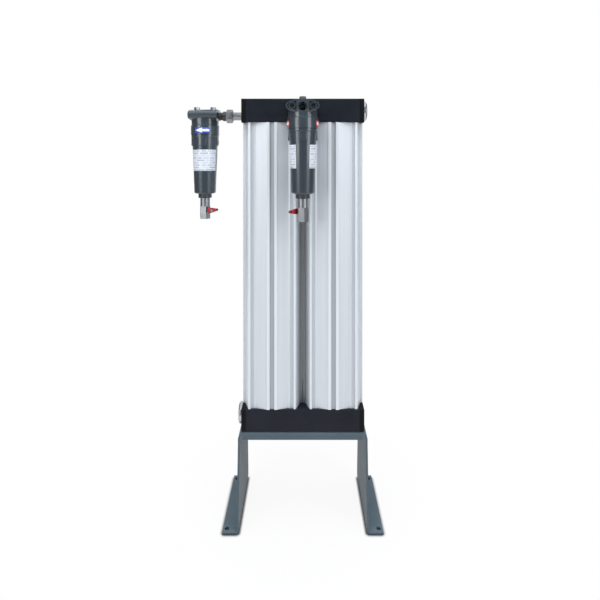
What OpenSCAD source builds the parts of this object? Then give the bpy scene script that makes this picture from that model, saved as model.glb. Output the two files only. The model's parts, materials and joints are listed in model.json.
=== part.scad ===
// Twin-column desiccant air dryer on a folded steel stand, in millimetres.
// An inlet filter hangs in front of the top manifold and an outlet filter hangs at its left.
// The origin is on the floor at the centre of the four foot holes, +Z is up, the front faces -Y.

/* [Columns] */
// Length of each ribbed column
column_l = 727; // [300:1:1200]
// Diameter of the drying chamber in a column
chamber_d = 120; // [110:1:160]
// Wall beside the chamber, at the column's flat sides
side_wall = 17.8; // [15:0.1:24]
// Wall in front of and behind the chamber, up to the ridges
face_wall = 18; // [16:0.5:26]
// Space between the two columns
column_gap = 0.2; // [0.2:0.1:8]
// Width of the groove down the middle of a column's face
groove_w = 11; // [6:0.5:14]
// Depth of that groove
groove_depth = 4; // [2:0.5:7]
// Width of the ridge on each side of the groove
ridge_w = 8.5; // [5:0.5:12]
// Step from a ridge down to the panel beside it
ridge_step = 1.5; // [0.5:0.5:4]
// Distance of the valley from the middle of the corner bead
valley_gap = 16; // [8:0.5:20]
// Depth of the valley behind the ridges
valley_depth = 8; // [6:0.5:12]
// Depth of the corner bead behind the ridges
bead_depth = 3; // [1:0.5:6]
// Radius of the corner bead
bead_r = 7; // [5:0.5:8]
// Width of the outer strip beside the corner bead
strip_w = 13.3; // [10:0.1:16]
// Depth of the outer strip behind the ridges
strip_depth = 34; // [28:0.5:42]

/* [Manifolds] */
// Height of the bottom manifold
bottom_manifold_h = 56; // [54:1:80]
// Height of the top manifold
top_manifold_h = 60; // [56:1:80]
// Rounding of the long manifold edges
manifold_edge_r = 3; // [1:0.5:5]
// Thickness of an end plate
end_plate_t = 12; // [8:0.5:14]
// Diameter of the galleries
gallery_d = 24; // [16:1:24]
// Distance of the front gallery from the middle of the manifold
gallery_offset = 38; // [36:0.5:39]
// Diameter of a gallery plug's head
plug_d = 52; // [30:1:52]
// Height of a plug's head above the end plate
plug_proud = 10; // [6:0.5:16]
// Height of the inlet above the top manifold's underside
inlet_rise = 31; // [28:0.5:34]
// Height of the outlet above the top manifold's underside
outlet_rise = 22; // [20:0.5:26]

/* [Bed] */
// Thickness of a diffuser plate
diffuser_t = 8; // [4:0.5:15]
// Height of the spring above the bed
spring_h = 42; // [30:1:60]
// Wire diameter of the spring
spring_wire = 5; // [3:0.5:6]

/* [Stand] */
// Plate thickness of the stand
stand_t = 5; // [3:0.5:6]
// Height of the shelf that carries the dryer
stand_h = 241; // [150:1:400]
// Room between the dryer's side and a leg's inner face
leg_clear = 3.3; // [2:0.1:20]
// Inside radius of the folds between shelf and legs
bend_r = 15; // [5:0.5:18]
// Inside radius of the folds at the feet and lips
tight_bend_r = 3; // [2:0.5:6]
// Drop of the front and back lips
lip_h = 20; // [16:0.5:40]
// Width of a foot flange
foot_w = 41; // [38:0.5:60]
// Length of a foot
foot_l = 200; // [190:1:260]
// Distance below the shelf at which a leg starts to widen towards its foot
flare_start = 29; // [20:1:60]
// Diameter of a foot hole
foot_hole_d = 11; // [7:0.5:13]
// Distance of a foot hole from the flange's outer edge
foot_hole_inset = 10; // [9:0.5:14]
// Distance of a foot hole from the foot's end
foot_hole_end = 13; // [10:0.5:25]

/* [Filters] */
// Length of a filter head from port to port
head_l = 76; // [72:0.5:100]
// Width of a filter head
head_w = 79.5; // [78:0.5:100]
// Height of a filter head's block
head_h = 30.5; // [28:0.5:36]
// Height of the head's top above its port axis
head_rise = 17; // [16:0.5:19]
// Radius of the round ends of the head's lozenge
head_end_r = 10; // [8:0.5:12]
// Diameter of the head's skirt
skirt_d = 75; // [72:0.5:77]
// Distance from the port axis down to the skirt's lower edge
skirt_drop = 50.5; // [48:0.5:60]
// Diameter of a port
port_d = 20.8; // [16:0.1:21]
// Length of the bowl below the skirt
bowl_l = 157; // [140:1:240]
// Outer diameter of the bowl under its collar
bowl_top_d = 70; // [68:0.5:70]
// Outer diameter of the bowl at the end of its shoulder
bowl_waist_d = 65; // [62:0.5:67]
// Distance of that end below the skirt
bowl_waist_drop = 41; // [38:0.5:60]
// Outer diameter of the bowl at its foot
bowl_foot_d = 57; // [54:0.5:62]
// Wall of the bowl
bowl_wall = 4; // [2.5:0.5:5]
// Diameter of the bowl's collar
collar_d = 73; // [71:0.5:75]
// Height of the bowl's collar
collar_h = 7; // [5:0.5:10]
// Length of the lugs under the collar
lug_h = 22; // [14:0.5:26]
// Diameter of the drain boss under the bowl
boss_d = 36; // [30:0.5:40]
// Length of the drain boss
boss_h = 12; // [11:0.5:20]
// Diameter of the filter element
element_d = 42; // [30:0.5:44]

/* [Fittings] */
// Room between the top manifold's face and the front filter
inlet_reach = 6; // [4:0.5:30]
// Bore of the pipe fittings
pipe_bore = 15; // [10:0.5:16]
// Outer diameter of the pipe tail
tail_d = 21.5; // [19:0.5:22]
// Length of the pipe tail outside the end plate
tail_l = 33; // [28:0.5:60]
// Width of the union nut across its flats
union_af = 32; // [31:0.5:40]
// Length of the union nut
union_l = 16; // [14:0.5:24]
// Length of the union's hub
hub_l = 10; // [6:0.5:20]
// Length of the threaded stub that shows beside the filter
stub_l = 11; // [6:0.5:20]

/* [Drain valves] */
// Diameter of the valve's round collar
valve_d = 25.5; // [24:0.5:30]
// Length of the round collar
valve_collar_h = 22; // [16:0.5:30]
// Width of the valve body across its flats
valve_af = 25; // [24:0.5:30]
// Length of the hexagonal body
valve_hex_h = 34; // [32:0.5:44]
// Distance from the top of the hexagon down to the stem
stem_drop = 11; // [10.5:0.5:13]
// Diameter of the ball
ball_d = 14; // [12:0.5:15]
// Bore of the valve
valve_bore = 8; // [5:0.5:8]
// Diameter of the drain port under the valve
drain_port_d = 11.4; // [9:0.1:12]
// Diameter of the stem
stem_d = 6; // [5:0.5:7]
// Height of the gland that the stem turns in
gland_h = 4.5; // [3:0.5:8]
// Length of the lever from the stem to its tip
lever_l = 27; // [20:0.5:45]
// Thickness of the lever
lever_t = 5; // [3:0.5:7]
// Diameter of the lever's hub
lever_hub_d = 15; // [12:0.5:18]
// Width of the lever at its tip
lever_tip_w = 5; // [4:0.5:10]
// Angle of the front valve's stem about the filter's axis
front_valve_turn = 45; // [25:1:65]
// Angle of the side valve's stem about the filter's axis
side_valve_turn = 140; // [120:1:160]

/* [Hidden] */
$fn = 64;

// Clearances
slip = 0.3;
thread_slip = 0.15;
turning_fit = 0.05;
tongue_fit = 0.15;
cut = 1;

// Colours
paint_grey = "#57646e";
anodised_black = "#2b2e35";
casting_slate = "#414d58";
bright_aluminium = "#d3d7de";
bright_steel = "#b9bcc0";
chrome = "#d9dbde";
lever_red = "#c03040";
rubber_black = "#1b1c1e";

// Main levels and places
column_w = chamber_d + 2 * side_wall;
column_d = chamber_d + 2 * face_wall;
column_x = (column_w + column_gap) / 2;
frame_w = 2 * column_w + column_gap;
half_d = column_d / 2;
column_z = stand_h + bottom_manifold_h;
top_z = column_z + column_l;
manifold_l = frame_w - 2 * end_plate_t;
bottom_gallery_rise = bottom_manifold_h / 2;
inlet_z = top_z + inlet_rise;
outlet_z = top_z + outlet_rise;
outlet_reach = tail_l + union_l + hub_l + stub_l;
front_axis_y = -half_d - inlet_reach - head_l / 2;
side_axis_x = -frame_w / 2 - outlet_reach - head_l / 2;

// Screws that hold the manifolds to the columns
screw_d = 8;
screw_head_d = 13;
screw_head_h = 8;
screw_recess = 1;
screw_grip = 30;
bead_x = column_w / 2 - strip_w - bead_r;
bead_y = half_d - bead_depth - bead_r;
screw_inset = [4, 10];
screw_x = bead_x - screw_inset[0];
screw_y = bead_y - screw_inset[1];
column_sides = [-1, 1];
screw_signs = [[-1, -1], [1, -1], [-1, 1], [1, 1]];

// Small screws in the end plates
plate_screw_d = 6;
plate_screw_head_d = 10;
plate_screw_head_h = 6;
plate_screw_l = 21;
plate_screw_edge = 10;

// Seal rings
ring_w = 2.5;
ring_t = 2.4;
ring_margin = 1.5;
column_port_d = 28;
lower_port_d = 20;

// Bed
bed_z0 = column_z + diffuser_t;
bed_z1 = top_z - spring_h - diffuser_t;
diffuser_hole_d = 6;
diffuser_rings = [[6, 0.4], [12, 0.75]];
spring_d = 0.72 * chamber_d;
spring_turns = 3;

// Stand
leg_x = frame_w / 2 + leg_clear;
stand_depth = column_d;
fold_r = bend_r + stand_t;
tight_fold_r = tight_bend_r + stand_t;
foot_hole_x = leg_x + foot_w - foot_hole_inset;
foot_hole_y = foot_l / 2 - foot_hole_end;
flare_h = stand_h - flare_start;
foot_edge_h = 32;
lip_relief = 7;
shelf_bolt_d = 8;
shelf_bolt_af = 13;
shelf_bolt_head = 5.5;
shelf_bolt_in = 14;
shelf_bolt_y = half_d - 18;

// Filter, measured from the port axis
head_mid = head_rise - head_h / 2;
head_foot = head_mid - head_h / 2;
head_chamfer = 5.5;
neck_d = skirt_d - 3;
skirt_h = 25;
head_roof = -30;
head_bore_d = 62;
port_depth = 14;
thread_in = 12;
passage_d = 16;
pocket_depth = 5;
pocket_rim = 3;
port_boss_w = 30;
link_hole_y = 25;
link_hole_d = 11.5;
link_boss_d = 16;
gauge_x = 22;
gauge_hole_d = 8;
gauge_af = 14;
gauge_h = 7.5;
gauge_thread_l = 6;
bowl_z = -skirt_drop - bowl_l;
collar_z = -skirt_drop - collar_h;
boss_z = bowl_z - boss_h;
spigot_d = head_bore_d - 2 * slip;
spigot_bore_d = 53;
spigot_top = head_roof - 1.5;
seal_z = (head_roof - skirt_drop) / 2;
seal_depth = 2.4;
seal_fit = 0.1;
collar_bevel = 0.8;
bowl_bevel = 1;
lug_step = 0.3;
lug_w = 21;
lug_corner_r = 3;
lug_root_r = 4;
foot_corner_r = 4;
inner_corner_r = 5;
mouth_step = 2;
drain_hole_d = 8;
drain_socket_d = 16.4;
element_cap_d = element_d + 5;
element_cap_h = 8;
element_foot_gap = 26;
element_foot_step = 2;
element_core_d = 18;
element_neck_d = 12;
element_spigot_d = 17.6;
element_spigot_h = 8;

// Drain valve, measured from the stem axis
stem_z = boss_z - valve_collar_h - stem_drop;
hex_top = stem_drop;
hex_foot = stem_drop - valve_hex_h;
valve_spigot_d = drain_socket_d - 2 * thread_slip;
valve_spigot_h = boss_h - 2;
cavity_d = 16.4;
seat_d = cavity_d - 2 * thread_slip;
seat_reach = 8.5;
seat_clear = 0.2;
seat_h = 4;
drain_port_depth = 10;
gland_d = 12;
gland_x = valve_af / 2;
lever_x = gland_x + gland_h + slip;
tongue_w = 2.6;
tongue_in = 2;
nut_af = 9;
nut_h = 4;
stem_end = lever_x + lever_t + nut_h + 1;

// Shared shapes

// Rectangle with round corners, centred
module rounded(w, h, r) {
  square([w - 2 * r, h], center = true);
  square([w, h - 2 * r], center = true);
  for (s = screw_signs)
    translate([s[0] * (w / 2 - r), s[1] * (h / 2 - r)]) circle(r);
}

// Flat ring
module ring(outer_d, inner_d, h) {
  difference() {
    cylinder(d = outer_d, h = h);
    translate([0, 0, -cut]) cylinder(d = inner_d, h = h + 2 * cut);
  }
}

// Hexagonal prism with the given width across its flats
module hexagon(af, h) {
  rotate(30) cylinder(d = af / cos(30), h = h, $fn = 6);
}

// Turns a piece made along +Z so that it runs along +X
module along_x() {
  rotate([0, 90, 0]) children();
}

// Turns a piece made along +Z so that it runs along +Y
module along_y() {
  rotate([-90, 0, 0]) children();
}

// Points of an arc
function arc(c, r, a0, a1, steps = 10) = [
  for (i = [0 : steps]) c + r * [cos(a0 + (a1 - a0) * i / steps), sin(a0 + (a1 - a0) * i / steps)]
];

// Angle on a circle of radius r round c where the tangent from p touches it
function tangent_angle(p, c, r) = atan2(p[1] - c[1], p[0] - c[0]) - acos(r / norm(p - c));

// Columns

// One quarter of the column's outline, from the middle of the face to the middle of the side
ridge_x = groove_w / 2 + ridge_w;
step_x = bead_x + bead_r;
valley_x = bead_x - valley_gap;
bead_start = tangent_angle([valley_x, half_d - valley_depth], [bead_x, bead_y], bead_r);
ridge_r = 1;
strip_bevel = 2;
strip_r = 3;
quarter = concat(
  [[0, half_d - groove_depth], [groove_w / 2, half_d - groove_depth]],
  arc([groove_w / 2 + ridge_r, half_d - ridge_r], ridge_r, 180, 90, 4),
  arc([ridge_x - ridge_r, half_d - ridge_r], ridge_r, 90, 0, 4),
  [[ridge_x, half_d - ridge_step], [valley_x, half_d - valley_depth]],
  arc([bead_x, bead_y], bead_r, bead_start, 0),
  [[step_x, half_d - strip_depth + strip_bevel], [step_x + strip_bevel, half_d - strip_depth]],
  arc([column_w / 2 - strip_r, half_d - strip_depth - strip_r], strip_r, 90, 0, 6)
);

function flip_x(p) = [for (i = [len(p) - 1 : -1 : 0]) [-p[i][0], p[i][1]]];
function flip_y(p) = [for (i = [len(p) - 1 : -1 : 0]) [p[i][0], -p[i][1]]];

upper_half = concat(flip_x(quarter), [for (i = [1 : len(quarter) - 1]) quarter[i]]);

module column_section() {
  difference() {
    polygon(concat(upper_half, flip_y(upper_half)));
    circle(d = chamber_d);
    for (s = screw_signs)
      translate([s[0] * screw_x, s[1] * screw_y]) circle(d = screw_d + 2 * thread_slip);
  }
}

module column(side) {
  color(bright_aluminium)
    translate([side * column_x, 0, column_z])
      linear_extrude(column_l) column_section();
}

module left_column() { column(-1); }
module right_column() { column(1); }

// Desiccant beds and what holds them

module desiccant_bed(side) {
  color("#e8e4da")
    translate([side * column_x, 0, bed_z0])
      cylinder(d = chamber_d - 2 * slip, h = bed_z1 - bed_z0);
}

module left_desiccant_bed() { desiccant_bed(-1); }
module right_desiccant_bed() { desiccant_bed(1); }

// Perforated plate that spreads the air over the bed; a ring is its count and share of the radius
module diffuser() {
  difference() {
    cylinder(d = chamber_d - 2 * slip, h = diffuser_t);
    for (r = diffuser_rings, i = [0 : r[0] - 1])
      rotate(360 * i / r[0])
        translate([r[1] * chamber_d / 2, 0, -cut])
          cylinder(d = diffuser_hole_d, h = diffuser_t + 2 * cut, $fn = 24);
  }
}

module lower_diffusers() {
  color("silver")
    for (side = column_sides) translate([side * column_x, 0, column_z]) diffuser();
}

module upper_diffusers() {
  color("silver")
    for (side = column_sides) translate([side * column_x, 0, bed_z1]) diffuser();
}

// Coil spring swept along a helix, with a round wire of eight sides
module coil_spring(mean_r, wire_d, h, turns) {
  steps = turns * 20;
  sides = 8;
  rise = h - wire_d;
  points = [
    for (i = [0 : steps], j = [0 : sides - 1])
      let (a = 360 * turns * i / steps, b = 360 * j / sides,
           r = mean_r + wire_d / 2 * cos(b))
        [r * cos(a), r * sin(a), wire_d / 2 + rise * i / steps + wire_d / 2 * sin(b)]
  ];
  walls = [
    for (i = [0 : steps - 1], j = [0 : sides - 1])
      let (k = (j + 1) % sides)
        [i * sides + j, (i + 1) * sides + j, (i + 1) * sides + k, i * sides + k]
  ];
  caps = [
    [for (j = [0 : sides - 1]) j],
    [for (j = [sides - 1 : -1 : 0]) steps * sides + j]
  ];
  polyhedron(points, concat(walls, caps));
}

module bed_springs() {
  color(bright_steel)
    for (side = column_sides)
      translate([side * column_x, 0, top_z - spring_h])
        coil_spring(spring_d / 2, spring_wire, spring_h, spring_turns);
}

// Rings that seal the columns to the manifolds
module column_ring() {
  ring_id = chamber_d + 2 * ring_margin;
  ring(ring_id + 2 * ring_w, ring_id, ring_t);
}

module column_seals() {
  color(rubber_black)
    for (side = column_sides) {
      translate([side * column_x, 0, column_z - ring_t]) column_ring();
      translate([side * column_x, 0, top_z]) column_ring();
    }
}

// Socket-head screw that points down, with its head's top at the origin
module socket_screw(d, head_d, head_h, l) {
  difference() {
    translate([0, 0, -head_h]) cylinder(d = head_d, h = head_h);
    translate([0, 0, -head_h / 2]) hexagon(head_d / 2, head_h);
  }
  translate([0, 0, -l]) cylinder(d = d, h = l - head_h);
}

module at_column_screws() {
  for (side = column_sides, s = screw_signs)
    translate([side * column_x + s[0] * screw_x, s[1] * screw_y, 0]) children();
}

module column_screws() {
  color(bright_steel) {
    at_column_screws()
      translate([0, 0, top_z + top_manifold_h - screw_recess])
        socket_screw(screw_d, screw_head_d, screw_head_h, top_manifold_h + screw_grip);
    at_column_screws()
      translate([0, 0, stand_h + screw_recess]) mirror([0, 0, 1])
        socket_screw(screw_d, screw_head_d, screw_head_h, bottom_manifold_h + screw_grip);
  }
}

// Manifolds

// Places a piece at each end of a manifold with +Z pointing out of the end
module at_manifold_ends(x, y, z) {
  for (side = column_sides)
    translate([side * x, y, z]) rotate([0, side * 90, 0]) children();
}

// Places the four screws of an end plate, with +Z pointing out of the plate
module at_plate_screws(side, z0, h) {
  for (y = [-1, 1], z = [plate_screw_edge, h - plate_screw_edge])
    translate([side * frame_w / 2, y * (half_d - plate_screw_edge), z0 + z])
      rotate([0, side * 90, 0]) children();
}

module manifold_slab(l, h) {
  rotate([90, 0, 90]) linear_extrude(l, center = true) rounded(column_d, h, manifold_edge_r);
}

// Block with its column screw holes and end screw holes; far is the level of the screw heads
module manifold_block(z0, h, far, inward) {
  difference() {
    translate([0, 0, z0 + h / 2]) manifold_slab(manifold_l, h);
    at_column_screws() {
      translate([0, 0, z0 - cut]) cylinder(d = screw_d + 2 * thread_slip, h = h + 2 * cut);
      translate([0, 0, far + inward * (screw_head_h + screw_recess) / 2])
        cylinder(d = screw_head_d + 2 * slip, h = screw_head_h + screw_recess + 2 * slip, center = true);
    }
    for (side = column_sides)
      at_plate_screws(side, z0, h)
        translate([0, 0, -plate_screw_l - slip])
          cylinder(d = plate_screw_d + 2 * thread_slip, h = plate_screw_l);
  }
}

// Gallery along the whole manifold with a seal groove at each end
module gallery(y, z) {
  translate([0, y, z]) along_x() cylinder(d = gallery_d, h = manifold_l + 2 * cut, center = true);
  at_manifold_ends(manifold_l / 2, y, z)
    translate([0, 0, -ring_t])
      cylinder(d = gallery_d + 2 * (ring_margin + ring_w), h = ring_t + cut);
}

// Seal groove for a column in a manifold's face
module column_groove(z) {
  for (side = column_sides)
    translate([side * column_x, 0, z])
      ring(chamber_d + 2 * (ring_margin + ring_w), chamber_d + 2 * ring_margin, ring_t);
}

module bottom_manifold() {
  gallery_z = stand_h + bottom_gallery_rise;
  color(anodised_black)
    difference() {
      manifold_block(stand_h, bottom_manifold_h, stand_h, 1);
      gallery(-gallery_offset, gallery_z);
      column_groove(column_z - ring_t);
      for (side = column_sides)
        translate([side * column_x, -gallery_offset, gallery_z])
          cylinder(d = lower_port_d, h = bottom_manifold_h);
      at_shelf_bolts()
        translate([0, 0, stand_h - cut])
          cylinder(d = shelf_bolt_d + 2 * thread_slip, h = shelf_bolt_in + 2 * cut);
    }
}

module top_manifold() {
  color(anodised_black)
    difference() {
      manifold_block(top_z, top_manifold_h, top_z + top_manifold_h, -1);
      gallery(-gallery_offset, inlet_z);
      gallery(0, outlet_z);
      column_groove(top_z);
      for (side = column_sides)
        translate([side * column_x, 0, top_z - cut])
          cylinder(d = column_port_d, h = outlet_rise + cut);
      translate([0, -half_d - cut, inlet_z]) along_y()
        cylinder(d = port_d, h = port_depth + cut);
      translate([0, -half_d, inlet_z]) along_y()
        cylinder(d = pipe_bore, h = half_d - gallery_offset);
    }
}

// End plate with countersunk screw holes
module end_plate(side, z0, h) {
  difference() {
    translate([side * (frame_w - end_plate_t) / 2, 0, z0 + h / 2]) manifold_slab(end_plate_t, h);
    at_plate_screws(side, z0, h) {
      translate([0, 0, -end_plate_t - cut])
        cylinder(d = plate_screw_d + 2 * slip, h = end_plate_t + 2 * cut);
      translate([0, 0, -plate_screw_head_h])
        cylinder(d = plate_screw_head_d + 2 * slip, h = plate_screw_head_h + cut);
    }
  }
}

// Hole through an end plate
module plate_hole(side, y, z, d) {
  translate([side * frame_w / 2, y, z]) along_x()
    cylinder(d = d, h = 2 * (end_plate_t + cut), center = true);
}

module bottom_left_plate() {
  color(anodised_black)
    difference() {
      end_plate(-1, stand_h, bottom_manifold_h);
      plate_hole(-1, -gallery_offset, stand_h + bottom_gallery_rise, gallery_d);
    }
}

module bottom_right_plate() {
  color(anodised_black) end_plate(1, stand_h, bottom_manifold_h);
}

module top_left_plate() {
  color(anodised_black)
    difference() {
      end_plate(-1, top_z, top_manifold_h);
      plate_hole(-1, 0, outlet_z, port_d);
    }
}

module top_right_plate() {
  color(anodised_black)
    difference() {
      end_plate(1, top_z, top_manifold_h);
      plate_hole(1, -gallery_offset, inlet_z, gallery_d);
    }
}

module end_plate_seals() {
  inner = gallery_d + 2 * ring_margin;
  places = [
    [-gallery_offset, stand_h + bottom_gallery_rise],
    [-gallery_offset, inlet_z],
    [0, outlet_z]
  ];
  color(rubber_black)
    for (p = places)
      at_manifold_ends(manifold_l / 2, p[0], p[1])
        translate([0, 0, -ring_t]) ring(inner + 2 * ring_w, inner, ring_t);
}

module end_plate_screws() {
  color(bright_steel)
    for (side = column_sides) {
      at_plate_screws(side, stand_h, bottom_manifold_h)
        socket_screw(plate_screw_d, plate_screw_head_d, plate_screw_head_h, plate_screw_l);
      at_plate_screws(side, top_z, top_manifold_h)
        socket_screw(plate_screw_d, plate_screw_head_d, plate_screw_head_h, plate_screw_l);
    }
}

plug_bevel = 3;
plug_socket_af = 14;

// Round plug with a bevelled head and a hexagonal socket; +Z points out of the plate
module gallery_plug() {
  difference() {
    union() {
      translate([0, 0, -end_plate_t])
        cylinder(d = gallery_d - 2 * thread_slip, h = end_plate_t);
      cylinder(d = plug_d, h = plug_proud - plug_bevel);
      translate([0, 0, plug_proud - plug_bevel])
        cylinder(d1 = plug_d, d2 = plug_d - 2 * plug_bevel, h = plug_bevel);
    }
    translate([0, 0, plug_proud / 3]) hexagon(plug_socket_af, plug_proud);
  }
}

module lower_gallery_plug() {
  color(bright_steel)
    translate([-frame_w / 2, -gallery_offset, stand_h + bottom_gallery_rise])
      rotate([0, -90, 0]) gallery_plug();
}

module upper_gallery_plug() {
  color(bright_steel)
    translate([frame_w / 2, -gallery_offset, inlet_z]) rotate([0, 90, 0]) gallery_plug();
}

// Loose ball that closes the outlet gallery towards the column at lower pressure
module shuttle_ball() {
  color("white") translate([0, 0, outlet_z]) sphere(d = gallery_d - 2 * slip);
}

// Stand

module at_shelf_bolts() {
  for (x = column_sides, y = [-1, 1])
    translate([x * column_x, y * shelf_bolt_y, 0]) children();
}

// Front view of the folded plate: shelf, legs and foot flanges
module stand_fold() {
  r = tight_fold_r;
  intersection() {
    difference() {
      rounded(2 * (leg_x + stand_t), 2 * stand_h, fold_r);
      rounded(2 * leg_x, 2 * (stand_h - stand_t), bend_r);
    }
    translate([-frame_w, r]) square([2 * frame_w, stand_h]);
  }
  for (side = [0, 1])
    mirror([side, 0]) translate([leg_x, 0]) {
      intersection() {
        difference() {
          translate([r, r]) circle(r);
          translate([r, r]) circle(tight_bend_r);
        }
        square(r);
      }
      translate([r, 0]) square([foot_w - r, stand_t]);
    }
}

// Side view of the stand: wide at the foot, narrower above the flare
module stand_side() {
  polygon([
    [-foot_l / 2, 0], [foot_l / 2, 0], [foot_l / 2, foot_edge_h],
    [stand_depth / 2, flare_h], [stand_depth / 2, stand_h - tight_fold_r],
    [-stand_depth / 2, stand_h - tight_fold_r], [-stand_depth / 2, flare_h],
    [-foot_l / 2, foot_edge_h]
  ]);
  translate([0, stand_h - 2 * tight_fold_r]) rounded(stand_depth, 4 * tight_fold_r, tight_fold_r);
}

// Lips at the front and back of the shelf, seen from the side; they end in the shelf's folds
module stand_lips() {
  intersection() {
    difference() {
      rounded(stand_depth, 2 * stand_h, tight_fold_r);
      rounded(stand_depth - 2 * stand_t, 2 * (stand_h - stand_t), tight_bend_r);
    }
    translate([-stand_depth, stand_h - lip_h]) square([2 * stand_depth, lip_h]);
  }
}

module stand() {
  color(paint_grey)
    difference() {
      union() {
        intersection() {
          rotate([90, 0, 0]) linear_extrude(foot_l, center = true) stand_fold();
          rotate([90, 0, 90]) linear_extrude(2 * frame_w, center = true) stand_side();
        }
        intersection() {
          rotate([90, 0, 90])
            linear_extrude(2 * (leg_x - lip_relief), center = true) stand_lips();
          rotate([90, 0, 0])
            linear_extrude(foot_l, center = true)
              rounded(2 * (leg_x + stand_t), 2 * stand_h, fold_r);
        }
      }
      for (s = screw_signs)
        translate([s[0] * foot_hole_x, s[1] * foot_hole_y, -cut])
          cylinder(d = foot_hole_d, h = stand_t + 2 * cut);
      at_shelf_bolts()
        translate([0, 0, stand_h - stand_t - cut])
          cylinder(d = shelf_bolt_d + 2 * slip, h = stand_t + 2 * cut);
    }
}

module stand_bolts() {
  color(bright_steel)
    at_shelf_bolts()
      translate([0, 0, stand_h - stand_t - shelf_bolt_head]) {
        hexagon(shelf_bolt_af, shelf_bolt_head);
        cylinder(d = shelf_bolt_d, h = shelf_bolt_head + stand_t + shelf_bolt_in);
      }
}

// Pipe fittings

nipple_step = 6;
flare_step = 12;
union_bevel = 1.5;

// Hexagonal nipple between the top manifold and the front filter
module inlet_nipple() {
  thread_d = port_d - 2 * thread_slip;
  color(bright_steel)
    translate([0, -half_d, inlet_z]) rotate([90, 0, 0])
      difference() {
        union() {
          hexagon(thread_d + nipple_step, inlet_reach);
          translate([0, 0, -thread_in]) cylinder(d = thread_d, h = inlet_reach + 2 * thread_in);
        }
        translate([0, 0, -thread_in - cut])
          cylinder(d = pipe_bore, h = inlet_reach + 2 * (thread_in + cut));
      }
}

// The outlet fittings are made along +Z, which points left from the end plate
module at_outlet() {
  translate([-frame_w / 2, 0, outlet_z]) rotate([0, -90, 0]) children();
}

union_collar_d = union_af - 4;
union_collar_t = 3.5;
union_lip_t = 2.5;
flare_l = 9;

module outlet_tail() {
  color(chrome)
    at_outlet()
      difference() {
        union() {
          translate([0, 0, -end_plate_t])
            cylinder(d = port_d - 2 * thread_slip, h = end_plate_t);
          cylinder(d1 = tail_d + flare_step, d2 = tail_d, h = flare_l);
          cylinder(d = tail_d, h = tail_l + union_lip_t);
          translate([0, 0, tail_l + union_lip_t])
            cylinder(d = union_collar_d - 2 * slip, h = union_collar_t);
        }
        translate([0, 0, -end_plate_t - cut])
          cylinder(d = pipe_bore, h = end_plate_t + tail_l + union_l + 2 * cut);
      }
}

// Nut of the union, with a corner on top
module union_nut() {
  corner_d = union_af / cos(30);
  color(chrome)
    at_outlet()
      translate([0, 0, tail_l])
        difference() {
          intersection() {
            rotate(30) hexagon(union_af, union_l);
            union() {
              cylinder(d1 = corner_d - 2 * union_bevel, d2 = corner_d, h = union_bevel);
              translate([0, 0, union_bevel]) cylinder(d = corner_d, h = union_l - union_bevel);
            }
          }
          translate([0, 0, -cut]) cylinder(d = tail_d + 2 * slip, h = union_l + 2 * cut);
          translate([0, 0, union_lip_t]) cylinder(d = union_collar_d, h = union_l);
        }
}

module union_body() {
  spigot_z = tail_l + union_lip_t + union_collar_t;
  hub_z = tail_l + union_l;
  color("#5c5f63")
    at_outlet()
      difference() {
        union() {
          translate([0, 0, spigot_z])
            cylinder(d = union_collar_d - 2 * slip, h = hub_z - spigot_z);
          translate([0, 0, hub_z]) cylinder(d = union_collar_d - 2, h = hub_l);
          translate([0, 0, hub_z])
            cylinder(d = port_d - 2 * thread_slip, h = hub_l + stub_l + thread_in);
        }
        translate([0, 0, spigot_z - cut])
          cylinder(d = pipe_bore, h = hub_z - spigot_z + hub_l + stub_l + thread_in + 2 * cut);
      }
}

// Filters, made round their port axis with the air flowing along +X

module at_front_filter() {
  translate([0, front_axis_y, inlet_z]) rotate(90) children();
}

module at_side_filter() {
  translate([side_axis_x, 0, outlet_z]) rotate(180) children();
}

// Right half of the head's lozenge, from its upper boss corner round the end to the lower one
function lozenge_half(inset) =
  let (corner = [port_boss_w / 2, head_h / 2 - inset],
       centre = [head_w / 2 - head_end_r, 0],
       r = head_end_r - inset,
       a = tangent_angle(corner, centre, r))
    concat([corner], arc(centre, r, a, -a, 12), [[corner[0], -corner[1]]]);

// End view of the head: a lozenge with round ends, made smaller by the inset
module head_outline(inset) {
  half = lozenge_half(inset);
  translate([0, head_mid])
    polygon(concat(half, [for (p = half) -p]));
}

// Side view of the head: square on top, bevelled below
module head_side() {
  polygon([
    [-head_l / 2, head_rise], [-head_l / 2, head_foot + head_chamfer],
    [-head_l / 2 + head_chamfer, head_foot], [head_l / 2 - head_chamfer, head_foot],
    [head_l / 2, head_foot + head_chamfer], [head_l / 2, head_rise]
  ]);
}

// Hollow between the ribs of a port face
module head_pocket() {
  difference() {
    head_outline(pocket_rim);
    translate([0, head_mid]) square([port_boss_w, 2 * head_h], center = true);
    for (side = column_sides) translate([side * link_hole_y, head_mid]) circle(d = link_boss_d);
  }
}

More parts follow.
